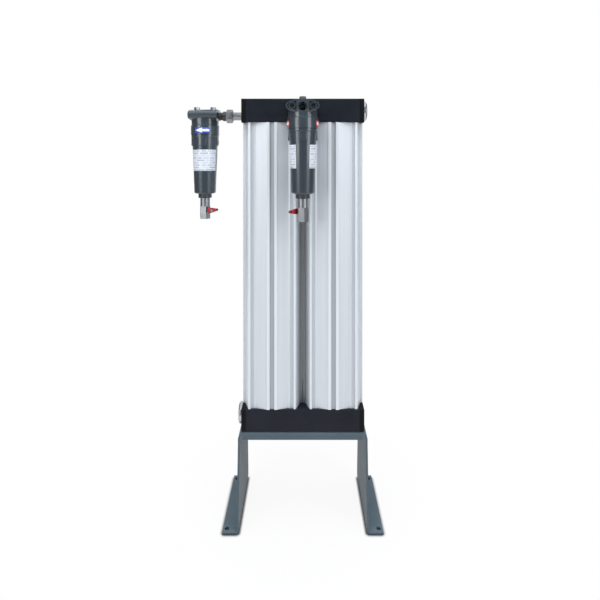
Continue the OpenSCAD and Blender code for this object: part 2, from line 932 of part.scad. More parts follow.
module filter_head() {
  color(casting_slate)
    difference() {
      union() {
        intersection() {
          rotate([90, 0, 90]) linear_extrude(head_l, center = true) head_outline(0);
          rotate([90, 0, 0]) linear_extrude(2 * head_w, center = true) head_side();
        }
        translate([0, 0, -skirt_drop]) cylinder(d = neck_d, h = skirt_drop);
        translate([0, 0, -skirt_drop]) cylinder(d = skirt_d, h = skirt_h);
        translate([0, 0, skirt_h - skirt_drop])
          cylinder(d1 = skirt_d, d2 = neck_d, h = (skirt_d - neck_d) / 2);
      }
      for (turn = [0, 180])
        rotate(turn) {
          translate([head_l / 2 - pocket_depth, 0, 0]) rotate([90, 0, 90])
            linear_extrude(pocket_depth + cut) head_pocket();
          translate([head_l / 2 - port_depth, 0, 0]) along_x()
            cylinder(d = port_d, h = port_depth + cut);
          for (side = column_sides)
            translate([head_l / 2 - 2 * pocket_depth, side * link_hole_y, head_mid]) along_x()
              cylinder(d = link_hole_d, h = 2 * pocket_depth + cut);
          translate([gauge_x, 0, head_rise / 2])
            cylinder(d = gauge_hole_d, h = head_rise);
        }
      translate([-head_l / 2, 0, 0]) along_x() cylinder(d = passage_d, h = head_l / 2);
      translate([gauge_x, 0, 0]) along_x() cylinder(d = passage_d, h = head_l / 2 - gauge_x);
      translate([0, 0, head_roof - cut])
        cylinder(d = element_spigot_d + 2 * slip, h = -head_roof + cut);
      translate([gauge_x, 0, head_roof - cut])
        cylinder(d = passage_d - 2, h = -head_roof + cut);
      translate([0, 0, -skirt_drop - cut])
        cylinder(d = head_bore_d, h = skirt_drop + head_roof + cut);
    }
}

// Half-section of the bowl's outside, as radius and height, from its top to the drain boss
function bowl_outside() = concat(
  [[spigot_d / 2, spigot_top], [spigot_d / 2, -skirt_drop]],
  [[collar_d / 2 - collar_bevel, -skirt_drop], [collar_d / 2, -skirt_drop - collar_bevel]],
  [[collar_d / 2, collar_z + bowl_bevel], [collar_d / 2 - bowl_bevel, collar_z]],
  [[bowl_top_d / 2, collar_z]],
  [[bowl_waist_d / 2, -skirt_drop - bowl_waist_drop]],
  arc([bowl_foot_d / 2 - foot_corner_r, bowl_z + foot_corner_r], foot_corner_r, 0, -90, 6),
  [[boss_d / 2, bowl_z], [boss_d / 2, boss_z + bowl_bevel]],
  [[boss_d / 2 - bowl_bevel, boss_z], [0, boss_z]]
);

// Half-section of the bowl's hollow, from its floor to its mouth
function bowl_inside() = concat(
  [[0, bowl_z + bowl_wall]],
  arc([bowl_foot_d / 2 - bowl_wall - inner_corner_r, bowl_z + bowl_wall + inner_corner_r],
      inner_corner_r, -90, 0, 6),
  [[bowl_waist_d / 2 - bowl_wall, -skirt_drop - bowl_waist_drop]],
  [[spigot_bore_d / 2 + mouth_step, collar_z - 2 * mouth_step], [spigot_bore_d / 2, collar_z]],
  [[spigot_bore_d / 2, spigot_top + cut], [0, spigot_top + cut]]
);

// Outline of one lug under the collar, with hollow fillets at its roots
module lug_outline() {
  r = lug_corner_r;
  f = lug_root_r;
  translate([-lug_w / 2, r - lug_h]) square([lug_w, lug_h - r + cut]);
  translate([r - lug_w / 2, -lug_h]) square([lug_w - 2 * r, lug_h]);
  for (side = column_sides) {
    translate([side * (lug_w / 2 - r), r - lug_h]) circle(r);
    difference() {
      translate([side * lug_w / 2 - f, -f]) square([2 * f, f + cut]);
      translate([side * (lug_w / 2 + f), -f]) circle(f);
    }
  }
}

module filter_bowl() {
  lug_d = collar_d - 2 * lug_step;
  color(casting_slate)
    difference() {
      union() {
        rotate_extrude() polygon(concat(bowl_outside(), [[0, spigot_top]]));
        intersection() {
          translate([0, 0, collar_z - lug_h]) cylinder(d = lug_d, h = lug_h + cut);
          for (turn = [0 : 90 : 270])
            rotate(turn) translate([0, 0, collar_z]) rotate([90, 0, 90])
              linear_extrude(collar_d) lug_outline();
        }
      }
      rotate_extrude() polygon(bowl_inside());
      translate([0, 0, seal_z - ring_w / 2])
        ring(spigot_d + 2 * cut, spigot_d - 2 * seal_depth, ring_w);
      translate([0, 0, boss_z - cut])
        cylinder(d = drain_hole_d, h = boss_h + bowl_wall + 2 * cut);
      translate([0, 0, boss_z - cut])
        cylinder(d = drain_socket_d, h = boss_h - 1 + cut);
    }
}

module bowl_seal() {
  color(rubber_black)
    translate([0, 0, seal_z - ring_w / 2])
      ring(head_bore_d - 2 * seal_fit, spigot_d - 2 * (seal_depth - seal_fit), ring_w);
}

// Element with its end caps and the spigot that plugs into the head
module filter_element() {
  top = head_roof;
  foot = bowl_z + element_foot_gap;
  neck_r = element_neck_d / 2;
  core_r = element_core_d / 2;
  spigot_r = element_spigot_d / 2;
  foot_r = element_cap_d / 2 - element_foot_step;
  color("#d9d2bd")
    rotate_extrude()
      polygon([
        [neck_r, top + element_spigot_h], [spigot_r, top + element_spigot_h], [spigot_r, top],
        [element_cap_d / 2, top], [element_cap_d / 2, top - element_cap_h],
        [element_d / 2, top - element_cap_h], [element_d / 2, foot + element_cap_h],
        [foot_r, foot + element_cap_h], [foot_r, foot],
        [0, foot], [0, foot + element_cap_h], [core_r, foot + element_cap_h],
        [core_r, top - element_cap_h], [neck_r, top - element_cap_h]
      ]);
}

module gauge_plugs() {
  color(chrome)
    for (side = column_sides)
      translate([side * gauge_x, 0, head_rise]) {
        hexagon(gauge_af, gauge_h);
        translate([0, 0, -gauge_thread_l])
          cylinder(d = gauge_hole_d - 2 * thread_slip, h = gauge_thread_l);
      }
}

module front_filter_head() { at_front_filter() filter_head(); }
module front_filter_bowl() { at_front_filter() filter_bowl(); }
module front_bowl_seal() { at_front_filter() bowl_seal(); }
module front_filter_element() { at_front_filter() filter_element(); }
module front_gauge_plugs() { at_front_filter() gauge_plugs(); }
module side_filter_head() { at_side_filter() filter_head(); }
module side_filter_bowl() { at_side_filter() filter_bowl(); }
module side_bowl_seal() { at_side_filter() bowl_seal(); }
module side_filter_element() { at_side_filter() filter_element(); }
module side_gauge_plugs() { at_side_filter() gauge_plugs(); }

// Drain valves, made round the stem axis along +X with the lever along +Y

module at_front_valve() {
  at_front_filter() rotate(front_valve_turn) translate([0, 0, stem_z]) children();
}

module at_side_valve() {
  at_side_filter() rotate(side_valve_turn) translate([0, 0, stem_z]) children();
}

module valve_body() {
  collar_top = hex_top + valve_collar_h;
  color(chrome)
    difference() {
      union() {
        translate([0, 0, hex_foot]) hexagon(valve_af, valve_hex_h);
        translate([0, 0, seat_reach]) cylinder(d = valve_af - 2, h = valve_collar_h);
        translate([0, 0, hex_top]) cylinder(d = valve_d, h = valve_collar_h);
        translate([0, 0, collar_top]) cylinder(d = valve_spigot_d, h = valve_spigot_h);
      }
      translate([0, 0, hex_foot - cut])
        cylinder(d = valve_bore, h = 4 * valve_hex_h);
      translate([0, 0, hex_foot - cut])
        cylinder(d = cavity_d, h = seat_reach + cut - hex_foot);
      along_x() cylinder(d = stem_d + 2 * turning_fit, h = valve_af);
    }
}

// Screwed sleeve that holds the lower seat from below and carries the drain port
module valve_insert() {
  color(chrome)
    translate([0, 0, hex_foot])
      difference() {
        ring(seat_d, valve_bore, -hex_foot - seat_reach);
        translate([0, 0, -cut]) cylinder(d = drain_port_d, h = drain_port_depth + cut);
      }
}

// Two plastic rings with hollow faces round the ball
module valve_seats() {
  color("white")
    difference() {
      union() {
        translate([0, 0, -seat_reach]) cylinder(d = seat_d, h = seat_h);
        translate([0, 0, seat_reach - seat_h]) cylinder(d = seat_d, h = seat_h);
      }
      cylinder(d = valve_bore, h = 4 * seat_reach, center = true);
      sphere(d = ball_d + 2 * seat_clear);
    }
}

module valve_gland() {
  color(rubber_black)
    translate([gland_x, 0, 0]) along_x() ring(gland_d, stem_d + 2 * turning_fit, gland_h);
}

// Ball with its bore along the lever and a slot for the stem's tongue
module valve_ball() {
  slot_x = ball_d / 2 - tongue_in;
  color(chrome)
    difference() {
      rotate(180) sphere(d = ball_d);
      along_y() cylinder(d = valve_bore - 2 * slip, h = 2 * ball_d, center = true);
      translate([slot_x, -ball_d, -tongue_w / 2 - tongue_fit])
        cube([ball_d, 2 * ball_d, tongue_w + 2 * tongue_fit]);
    }
}

module valve_stem() {
  tongue_x = ball_d / 2 - tongue_in + tongue_fit;
  shoulder_x = ball_d / 2 + tongue_fit;
  color(bright_steel) {
    translate([shoulder_x, 0, 0]) along_x() cylinder(d = stem_d, h = stem_end - shoulder_x);
    intersection() {
      translate([tongue_x, 0, 0]) along_x() cylinder(d = stem_d, h = shoulder_x - tongue_x + cut);
      translate([tongue_x, -stem_d, -tongue_w / 2])
        cube([shoulder_x - tongue_x + cut, 2 * stem_d, tongue_w]);
    }
  }
}

// Outline of the lever: a round hub that tapers to a round tip
module lever_outline() {
  tip_r = lever_tip_w / 2;
  hull() {
    circle(d = lever_hub_d, $fn = 32);
    translate([lever_l - tip_r, 0]) circle(tip_r, $fn = 32);
  }
}

module lever() {
  color(lever_red)
    translate([lever_x, 0, 0]) rotate([90, 0, 90])
      difference() {
        linear_extrude(lever_t) lever_outline();
        translate([0, 0, -cut])
          cylinder(d = stem_d + 2 * turning_fit, h = lever_t + 2 * cut);
      }
}

module lever_nut() {
  color(chrome)
    translate([lever_x + lever_t, 0, 0]) along_x()
      difference() {
        hexagon(nut_af, nut_h);
        translate([0, 0, -cut]) cylinder(d = stem_d + 2 * turning_fit, h = nut_h + 2 * cut);
      }
}

module front_valve_body() { at_front_valve() valve_body(); }
module front_valve_insert() { at_front_valve() valve_insert(); }
module front_valve_seats() { at_front_valve() valve_seats(); }
module front_valve_gland() { at_front_valve() valve_gland(); }
module front_valve_ball() { at_front_valve() valve_ball(); }
module front_valve_stem() { at_front_valve() valve_stem(); }
module front_lever() { at_front_valve() lever(); }
module front_lever_nut() { at_front_valve() lever_nut(); }
module side_valve_body() { at_side_valve() valve_body(); }
module side_valve_insert() { at_side_valve() valve_insert(); }
module side_valve_seats() { at_side_valve() valve_seats(); }
module side_valve_gland() { at_side_valve() valve_gland(); }
module side_valve_ball() { at_side_valve() valve_ball(); }
module side_valve_stem() { at_side_valve() valve_stem(); }
module side_lever() { at_side_valve() lever(); }
module side_lever_nut() { at_side_valve() lever_nut(); }

stand();
stand_bolts();
bottom_manifold();
bottom_left_plate();
bottom_right_plate();
lower_gallery_plug();
top_manifold();
top_left_plate();
top_right_plate();
upper_gallery_plug();
end_plate_seals();
end_plate_screws();
column_seals();
column_screws();
left_column();
right_column();
left_desiccant_bed();
right_desiccant_bed();
lower_diffusers();
upper_diffusers();
bed_springs();
shuttle_ball();
inlet_nipple();
outlet_tail();
union_nut();
union_body();
front_filter_head();
front_filter_bowl();
front_bowl_seal();
front_filter_element();
front_gauge_plugs();
front_valve_body();
front_valve_insert();
front_valve_seats();
front_valve_gland();
front_valve_ball();
front_valve_stem();
front_lever();
front_lever_nut();
side_filter_head();
side_filter_bowl();
side_bowl_seal();
side_filter_element();
side_gauge_plugs();
side_valve_body();
side_valve_insert();
side_valve_seats();
side_valve_gland();
side_valve_ball();
side_valve_stem();
side_lever();
side_lever_nut();
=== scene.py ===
# %% [markdown]
# # A desiccant air dryer, dressed in Blender
#
# Two ribbed aluminium columns stand between black manifolds on a folded steel stand, and two filters
# hang from the top manifold. The solid model of the dryer comes first, as a fixed frame. Everything
# made below sits in that frame, in metres, with the floor at zero and the front facing -Y.

# %% Load the frame
import json
import math

import bmesh
import bpy
import numpy as np
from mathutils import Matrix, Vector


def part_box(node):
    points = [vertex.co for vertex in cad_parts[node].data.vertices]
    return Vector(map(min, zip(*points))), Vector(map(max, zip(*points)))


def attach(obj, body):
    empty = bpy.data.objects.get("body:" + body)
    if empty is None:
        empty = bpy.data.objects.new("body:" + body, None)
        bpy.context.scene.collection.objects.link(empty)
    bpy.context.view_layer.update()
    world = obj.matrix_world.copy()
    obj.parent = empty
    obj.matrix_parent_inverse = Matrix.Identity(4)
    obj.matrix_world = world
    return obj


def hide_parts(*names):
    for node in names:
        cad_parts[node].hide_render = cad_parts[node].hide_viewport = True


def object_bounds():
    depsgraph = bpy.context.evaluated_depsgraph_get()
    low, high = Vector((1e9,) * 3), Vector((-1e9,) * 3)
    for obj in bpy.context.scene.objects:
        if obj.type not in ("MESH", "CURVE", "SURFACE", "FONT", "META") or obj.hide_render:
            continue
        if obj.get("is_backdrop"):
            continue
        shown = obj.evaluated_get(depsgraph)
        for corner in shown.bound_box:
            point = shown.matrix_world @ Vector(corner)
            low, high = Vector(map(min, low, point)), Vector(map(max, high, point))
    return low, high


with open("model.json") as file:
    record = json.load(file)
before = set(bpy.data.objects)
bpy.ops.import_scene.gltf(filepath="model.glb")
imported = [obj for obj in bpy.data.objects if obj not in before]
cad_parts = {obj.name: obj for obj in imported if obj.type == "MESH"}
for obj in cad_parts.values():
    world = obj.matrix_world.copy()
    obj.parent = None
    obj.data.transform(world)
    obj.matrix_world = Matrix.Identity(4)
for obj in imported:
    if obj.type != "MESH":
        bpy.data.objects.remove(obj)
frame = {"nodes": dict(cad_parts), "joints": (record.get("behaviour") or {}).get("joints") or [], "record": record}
cad_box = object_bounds()
MM = 0.001
nodes = frame["nodes"]
mounts = {m["name"]: m for m in frame["record"]["mounts"]}
hinges = {j["child"]: j for j in frame["joints"]}
print("frame:", len(nodes), "nodes,", len(hinges), "hinges")

# %% [markdown]
# ## Camera
#
# The photograph was taken with a level camera straight in front of the dryer, a little below its top.
# A level camera keeps upright edges upright. Tilting it down would make them lean, so the picture is
# moved over the sensor with the lens shift instead, as an architect's camera does.

# %% Make the camera
CAMERA_PLACE = (0.0, -1.2, 0.931)
CAMERA_SENSOR, CAMERA_LENS = 36.0, 26.64
CAMERA_SHIFT = (-0.0046, -0.235)

lens = bpy.data.cameras.new("camera")
lens.sensor_width = CAMERA_SENSOR
lens.lens = CAMERA_LENS
lens.shift_x, lens.shift_y = CAMERA_SHIFT
camera = bpy.data.objects.new("camera", lens)
camera.location = CAMERA_PLACE
camera.rotation_euler = (math.radians(90), 0.0, 0.0)
bpy.context.scene.collection.objects.link(camera)
bpy.context.scene.camera = camera
bpy.context.scene.view_settings.view_transform = "Standard"
print("camera at", CAMERA_PLACE)

# %% [markdown]
# ## Finishes
#
# Real metal is never one flat colour. Paint has a slight orange-peel surface, an extrusion carries
# faint streaks along its length, and plating is a little duller in some places than in others. Each
# finish below starts from one shader and lets noise in Object coordinates change its colour,
# roughness and bump a little. Object coordinates stay with a piece when it moves.

# %% A shader and its noise
COAT_ROUGHNESS = 0.12


def finish(name, roughness, metallic=0.0, coat=0.0, shine=0.5):
    """New material with one Principled shader. The constants go straight onto its sockets."""
    material = bpy.data.materials.new(name)
    material.use_nodes = True
    shader = material.node_tree.nodes["Principled BSDF"]
    shader.inputs["Roughness"].default_value = roughness
    shader.inputs["Metallic"].default_value = metallic
    shader.inputs["Coat Weight"].default_value = coat
    shader.inputs["Coat Roughness"].default_value = COAT_ROUGHNESS
    shader.inputs["Specular IOR Level"].default_value = shine
    return material, material.node_tree, shader


def noise(tree, scale, stretch=(1, 1, 1), detail=3.0):
    """Noise in Object coordinates. A stretch below 1 draws it out along that axis."""
    coordinates = tree.nodes.new("ShaderNodeTexCoord")
    mapping = tree.nodes.new("ShaderNodeMapping")
    mapping.inputs["Scale"].default_value = stretch
    texture = tree.nodes.new("ShaderNodeTexNoise")
    texture.inputs["Scale"].default_value = scale
    texture.inputs["Detail"].default_value = detail
    tree.links.new(coordinates.outputs["Object"], mapping.inputs["Vector"])
    tree.links.new(mapping.outputs["Vector"], texture.inputs["Vector"])
    return texture.outputs["Fac"]


# %% [markdown]
# ### What the noise changes
#
# Noise alone is a grey cloud. A ramp turns it into colours, a range turns it into roughness, and a bump
# turns it into small hills. Each could be painted by hand as well, but only for one shape.

# %% From noise to colour, gloss and bump
def ramp(tree, value, stops):
    """Colour by value. A stop is a value with its colour, and colours between stops are mixed."""
    node = tree.nodes.new("ShaderNodeValToRGB")
    steps = node.color_ramp.elements
    for position, colour in stops[1:-1]:
        steps.new(position).color = (*colour, 1)
    for end in (0, -1):
        position, colour = stops[end]
        steps[end].position = position
        steps[end].color = (*colour, 1)
    tree.links.new(value, node.inputs["Fac"])
    return node.outputs["Color"]


def tones(tree, shader, value, dark, light, low=0.3, high=0.7):
    """Base colour that runs from dark to light as the value runs from low to high."""
    colour = ramp(tree, value, [(low, dark), (high, light)])
    tree.links.new(colour, shader.inputs["Base Color"])


def vary(tree, value, socket, low, high):
    """Lets a value between 0 and 1 move a socket between low and high."""
    span = tree.nodes.new("ShaderNodeMapRange")
    span.inputs["To Min"].default_value = low
    span.inputs["To Max"].default_value = high
    tree.links.new(value, span.inputs["Value"])
    tree.links.new(span.outputs["Result"], socket)


def bumps(tree, shader, value, strength, distance):
    """Bump from a value; the distance is its height in metres."""
    bump = tree.nodes.new("ShaderNodeBump")
    bump.inputs["Strength"].default_value = strength
    bump.inputs["Distance"].default_value = distance
    tree.links.new(value, bump.inputs["Height"])
    tree.links.new(bump.outputs["Normal"], shader.inputs["Normal"])


# %% [markdown]
# ### Kinds of finish
#
# Paint, anodised metal and plating differ in how they shine, so each kind has its own function. One
# function with many settings could serve for all, but three short ones are easier to read.

# %% Kinds of finish
PAINT_CLOUDS, GLOSS_CLOUDS, GLOSS_SPREAD = 14, 40, 0.06
PEEL_STRENGTH, PEEL_HEIGHT = 0.25, 0.1 * MM
STREAK_SCALE, STREAK_SPREAD, STREAK_HEIGHT = 420, 0.05, 0.04 * MM
ANODISED_METALLIC = 0.15
PLATING_CLOUDS, PLATING_GLOSS = 60, 220
GLOSSIEST, DULLEST = 0.75, 1.3


def painted(name, dark, light, roughness, grain, coat=0.0, shine=0.5):
    """Paint with a fine orange-peel bump, slightly uneven in colour and gloss."""
    material, tree, shader = finish(name, roughness, coat=coat, shine=shine)
    tones(tree, shader, noise(tree, PAINT_CLOUDS), dark, light)
    gloss = noise(tree, GLOSS_CLOUDS)
    vary(tree, gloss, shader.inputs["Roughness"], roughness - GLOSS_SPREAD, roughness + GLOSS_SPREAD)
    bumps(tree, shader, noise(tree, grain), PEEL_STRENGTH, PEEL_HEIGHT)
    return material


def streaked_metal(name, dark, light, roughness, stretch, bump):
    """Matt anodised metal with streaks drawn out along one axis."""
    material, tree, shader = finish(name, roughness, metallic=ANODISED_METALLIC)
    streaks = noise(tree, STREAK_SCALE, stretch, detail=5.0)
    tones(tree, shader, streaks, dark, light)
    vary(tree, streaks, shader.inputs["Roughness"], roughness - STREAK_SPREAD, roughness + STREAK_SPREAD)
    bumps(tree, shader, streaks, bump, STREAK_HEIGHT)
    return material


def plated(name, dark, light, roughness, metallic=1.0):
    """Plated metal, a little cloudy in its gloss."""
    material, tree, shader = finish(name, roughness, metallic=metallic)
    tones(tree, shader, noise(tree, PLATING_CLOUDS), dark, light)
    gloss = noise(tree, PLATING_GLOSS)
    vary(tree, gloss, shader.inputs["Roughness"], roughness * GLOSSIEST, roughness * DULLEST)
    return material


# %% [markdown]
# ### The dryer's own finishes
#
# The stand is painted, the manifolds and their end plates are black, the filters have a glossy paint,
# and the fittings are plated. A picture of the metal could be wrapped round each piece. A table of
# colours and roughness is shorter, and it works on a piece of any shape.

# %% Finishes of the dryer
# Each paint: darkest and lightest colour, roughness and grain, then its clear coat and its shine.
PAINTS = {
    "stand_paint": ((0.074, 0.102, 0.124), (0.086, 0.118, 0.143), 0.52, 900, 0.0, 0.22),
    "black_anodised": ((0.009, 0.011, 0.016), (0.014, 0.017, 0.024), 0.42, 1800, 0.0, 0.15),
    "filter_paint": ((0.024, 0.036, 0.047), (0.029, 0.043, 0.056), 0.30, 700, 0.7),
    "lever_red": ((0.46, 0.022, 0.040), (0.56, 0.032, 0.052), 0.38, 600),
    "rubber": ((0.010, 0.010, 0.011), (0.016, 0.016, 0.017), 0.62, 1500),
    "white_plastic": ((0.74, 0.74, 0.72), (0.82, 0.82, 0.80), 0.40, 1200),
}
# Each plating: darkest and lightest colour, roughness, then how metallic it is.
PLATINGS = {
    "steel": ((0.50, 0.51, 0.53), (0.60, 0.61, 0.63), 0.28),
    "chrome": ((0.30, 0.31, 0.33), (0.37, 0.38, 0.40), 0.36),
    "fitting_grey": ((0.06, 0.062, 0.066), (0.09, 0.092, 0.098), 0.35, 0.6),
}
finishes = {name: painted(name, *values) for name, values in PAINTS.items()}
finishes |= {name: plated(name, *values) for name, values in PLATINGS.items()}
finishes["column_aluminium"] = streaked_metal(
    "column_aluminium", (0.66, 0.70, 0.75), (0.72, 0.76, 0.81),
    roughness=0.40, stretch=(1, 1, 0.006), bump=0.3)
plate_black = painted(
    "plate_black", (0.005, 0.006, 0.007), (0.008, 0.009, 0.010), roughness=0.5, grain=1500, shine=0.08)
print("finishes:", ", ".join(finishes))

# %% [markdown]
# ### The hidden filling
#
# The columns are filled with round desiccant beads, and each filter holds an element wound from a
# fibrous medium. Thousands of beads could be modelled, but nobody sees them inside the columns. So
# the bed stays one solid, and a Voronoi pattern draws the beads on it, with shade painted where the
# beads meet. The medium gets flat streaks.

# %% Finishes of the hidden filling
BEAD_SCALE, BEAD_HEIGHT = 320, 1.0 * MM
LAYER_SCALE, LAYER_STRETCH, LAYER_HEIGHT = 160, (0.15, 0.15, 4.0), 0.4 * MM


def packed_beads(name):
    """Round beads packed side by side from Voronoi cells, white with painted shade at their rims."""
    material, tree, shader = finish(name, roughness=0.7)
    coordinates = tree.nodes.new("ShaderNodeTexCoord")
    beads = tree.nodes.new("ShaderNodeTexVoronoi")
    beads.inputs["Scale"].default_value = BEAD_SCALE
    tree.links.new(coordinates.outputs["Object"], beads.inputs["Vector"])
    inwards = beads.outputs["Distance"]
    # Painted shade: each bead is lighter at its middle and darker towards its rim, where beads meet.
    tones(tree, shader, inwards, (0.86, 0.84, 0.79), (0.52, 0.50, 0.45), low=0.2, high=0.8)
    bumps(tree, shader, inwards, strength=0.8, distance=-BEAD_HEIGHT)
    return material


def wrapped_medium(name):
    """Filter medium wound in thin layers, so its streaks run round it."""
    material, tree, shader = finish(name, roughness=0.85)
    layers = noise(tree, LAYER_SCALE, LAYER_STRETCH)
    tones(tree, shader, layers, (0.56, 0.50, 0.37), (0.72, 0.66, 0.52))
    bumps(tree, shader, layers, strength=0.5, distance=LAYER_HEIGHT)
    return material


finishes["desiccant"] = packed_beads("desiccant")
finishes["element"] = wrapped_medium("element")
print("finishes in the record:", len(finishes))

# %% [markdown]
# ## The nodes that keep their solid shape
#
# A solid that already has the right shape only needs a finish. The record says which finish each node
# has, so one loop over it is enough, and pieces made later may take the place of some of these nodes.

# %% Finish every node
node_slot = {part["node"]: part["material_slot"] for part in frame["record"]["subparts"]}
node_body = {n: body for body, names in frame["record"]["behaviour"]["bodies"].items() for n in names}
for node_name, slot_name in node_slot.items():
    nodes[node_name].data.materials.clear()
    nodes[node_name].data.materials.append(finishes[slot_name])
print("nodes with a finish:", len(node_slot))

# %% [markdown]
# ## Putting a piece in place
#
# Each new piece goes into the dryer in the same way: it is linked to the scene, gets its finish, and
# hangs from the body it moves with, and the solids it stands for are hidden. This could be written out
# for each piece, but two helpers are shorter and forget nothing.

# %% Link and dress a piece
def put_in_scene(mesh, smooth_angle=35):
    """Links an object for the mesh, smooth except at edges sharper than the angle in degrees."""
    made = bpy.data.objects.new(mesh.name, mesh)
    bpy.context.scene.collection.objects.link(made)
    mesh.polygons.foreach_set("use_smooth", np.ones(len(mesh.polygons), bool))
    mesh.set_sharp_from_angle(angle=math.radians(smooth_angle))
    return made


def dress(piece, material, body="dryer", replaces=()):
    """Gives a piece its material and its body, and hides the nodes that it stands for."""
    piece.data.materials.clear()
    piece.data.materials.append(material)
    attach(piece, body)
    if replaces:
        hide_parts(*replaces)
    print(piece.name, "made with", len(piece.data.polygons), "faces")
    return piece


# %% [markdown]
# ## Soft edges
#
# No real edge is perfectly sharp. Castings have rounded corners, and sawn or folded metal is broken at
# its edges, which is what catches the light. A copy of the node's mesh is merged and its flat faces are
# joined, and then a Bevel modifier rounds the edges. Doing this to a copy leaves the solid as it was.

# %% Soften the edges of the rigid pieces
WELD, FLAT_ANGLE = 0.002 * MM, 0.5


def soften(node_name, width, segments=2, angle=28):
    """Copy of a node with its edges rounded by the width in millimetres."""
    work = bmesh.new()
    work.from_mesh(nodes[node_name].data)
    bmesh.ops.remove_doubles(work, verts=work.verts, dist=WELD)
    bmesh.ops.dissolve_limit(
        work, angle_limit=math.radians(FLAT_ANGLE), verts=work.verts, edges=work.edges, delimit={"NORMAL"})
    mesh = bpy.data.meshes.new(node_name + "_soft")
    work.to_mesh(mesh)
    work.free()
    piece = put_in_scene(mesh, angle)
    bevel = piece.modifiers.new("edges", "BEVEL")
    bevel.width = width * MM
    bevel.segments = segments
    bevel.limit_method = "ANGLE"
    bevel.angle_limit = math.radians(angle)
    bevel.harden_normals = True
    slot_name = node_slot[node_name]
    material = plate_black if node_name.endswith("_plate") else finishes[slot_name]
    return dress(piece, material, node_body[node_name], [node_name])


FILTER_EDGE_WIDTHS = {
    "filter_head": 0.9, "gauge_plugs": 0.6, "valve_body": 0.6, "valve_gland": 0.4,
    "lever": 0.9, "lever_nut": 0.4, "valve_stem": 0.3,
}
edge_widths = {
    "stand": 0.6, "bottom_manifold": 0.8, "top_manifold": 0.8,
    "bottom_left_plate": 0.8, "bottom_right_plate": 0.8, "top_left_plate": 0.8, "top_right_plate": 0.8,
    "lower_gallery_plug": 0.6, "upper_gallery_plug": 0.6, "inlet_nipple": 0.5,
    "outlet_tail": 0.4, "union_nut": 0.6, "union_body": 0.5,
}
for place in ("front", "side"):
    edge_widths |= {f"{place}_{part}": width for part, width in FILTER_EDGE_WIDTHS.items()}
for node_name, width in edge_widths.items():
    soften(node_name, width)

# %% [markdown]
# ## A helper for surfaces
#
# Most new pieces here are grids: rows and columns of points worked out by a formula. One helper turns
# such a grid into a mesh. It writes whole arrays at once, which is quicker than adding faces one by
# one, and it can join the last row or column to the first, so that a tube or a ring closes.

# %% Grid to mesh
SAME_POINT = 0.0005 * MM


def cells(grid):
    """The four corners of each cell, in order round it: two from one row and two from the next."""
    return [grid[:-1, :-1], grid[:-1, 1:], grid[1:, 1:], grid[1:, :-1]]


def skin(name, points, close_rows=False, close_columns=False, smooth_angle=35):
    """Mesh of a grid of points with the shape (rows, columns, 3).

    Each cell of the grid becomes one face with four corners. A UV map holds each corner's place in
    the grid, from 0 to 1 along the columns and along the rows.
    """
    rows, columns = points.shape[:2]
    order = np.arange(rows * columns).reshape(rows, columns)
    if close_rows:
        order = np.vstack([order, order[:1]])
    if close_columns:
        order = np.hstack([order, order[:, :1]])
    faces = np.stack(cells(order), axis=-1).reshape(-1, 4)

    mesh = bpy.data.meshes.new(name)
    mesh.vertices.add(rows * columns)
    mesh.vertices.foreach_set("co", points.astype(np.float32).ravel())
    mesh.loops.add(faces.size)
    mesh.loops.foreach_set("vertex_index", faces.ravel().astype(np.int32))
    mesh.polygons.add(len(faces))
    mesh.polygons.foreach_set("loop_start", np.arange(0, faces.size, 4, dtype=np.int32))
    mesh.update(calc_edges=True)

    along, down = order % columns / max(columns - 1, 1), order // columns / max(rows - 1, 1)
    uv = np.stack(cells(np.stack([along, down], -1)), axis=-2).reshape(-1, 2)
    mesh.uv_layers.new(name="grid").data.foreach_set("uv", uv.astype(np.float32).ravel())
    mesh.validate()
    return put_in_scene(mesh, smooth_angle)


def face_outwards(piece):
    """Merges points that meet, as at a pole, and turns the faces of a closed shell outwards."""
    shell = bmesh.new()
    shell.from_mesh(piece.data)
    bmesh.ops.remove_doubles(shell, verts=shell.verts, dist=SAME_POINT)
    bmesh.ops.recalc_face_normals(shell, faces=shell.faces)
    shell.to_mesh(piece.data)
    shell.free()


print("a grid of 3 by 4 points has", cells(np.zeros((3, 4)))[0].size, "cells")

# %% [markdown]
# ## Columns
#
# A column is an aluminium extrusion: hot metal pressed through a die, so its section is the same from
# end to end. It could be modelled as a block with cuts, but an extrusion asks for a profile carried
# along a path. The outline is a short list of corners with a rounding each, as on the die's drawing.

# %% Corners of the die
def half_size(node_name):
    """Half of a node's width and depth in millimetres."""
    low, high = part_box(node_name)
    return (high.x - low.x) / 2 / MM, (high.y - low.y) / 2 / MM


COLUMN_HALF_W, COLUMN_HALF_D = half_size("left_column")
STRIP_W, STRIP_DEPTH = 6.3, 34.0

# A quarter of the outline, from the middle of the face to the side, in millimetres.
# Each corner: its place across, its depth behind the ridges, and its rounding.
quarter = np.array([
    [5.5, 4.0, 0.6],  # edge of the groove's floor
    [5.5, 0.0, 1.0],  # ridge, beside the groove
    [14.0, 0.0, 1.0],  # ridge, beside the panel
    [14.0, 1.5, 0.4],  # foot of the ridge
    [41.5, 8.0, 2.5],  # valley of the panel
    [46.6, 6.2, 0.4],  # lip of the shallow channel
    [47.2, 7.6, 0.3],  # floor of the channel
    [53.8, 6.4, 0.3],  # far edge of that floor
    [54.4, 3.0, 1.5],  # corner bead
    [60.5, 3.0, 3.0],  # top of the bead's slanted flank
    [COLUMN_HALF_W - STRIP_W, STRIP_DEPTH, 1.5],  # foot of the flank
    [COLUMN_HALF_W, STRIP_DEPTH, 3.0],  # edge of the outer strip
])
print("die corners in a quarter:", len(quarter))

# %% [markdown]
# ### Outline
#
# A die has small round corners, because sharp ones would tear the metal. A Bevel modifier could round
# the finished column, but it has one width for all edges. Here each corner in the list gets an arc of
# its own radius, and mirroring the quarter makes the whole outline.

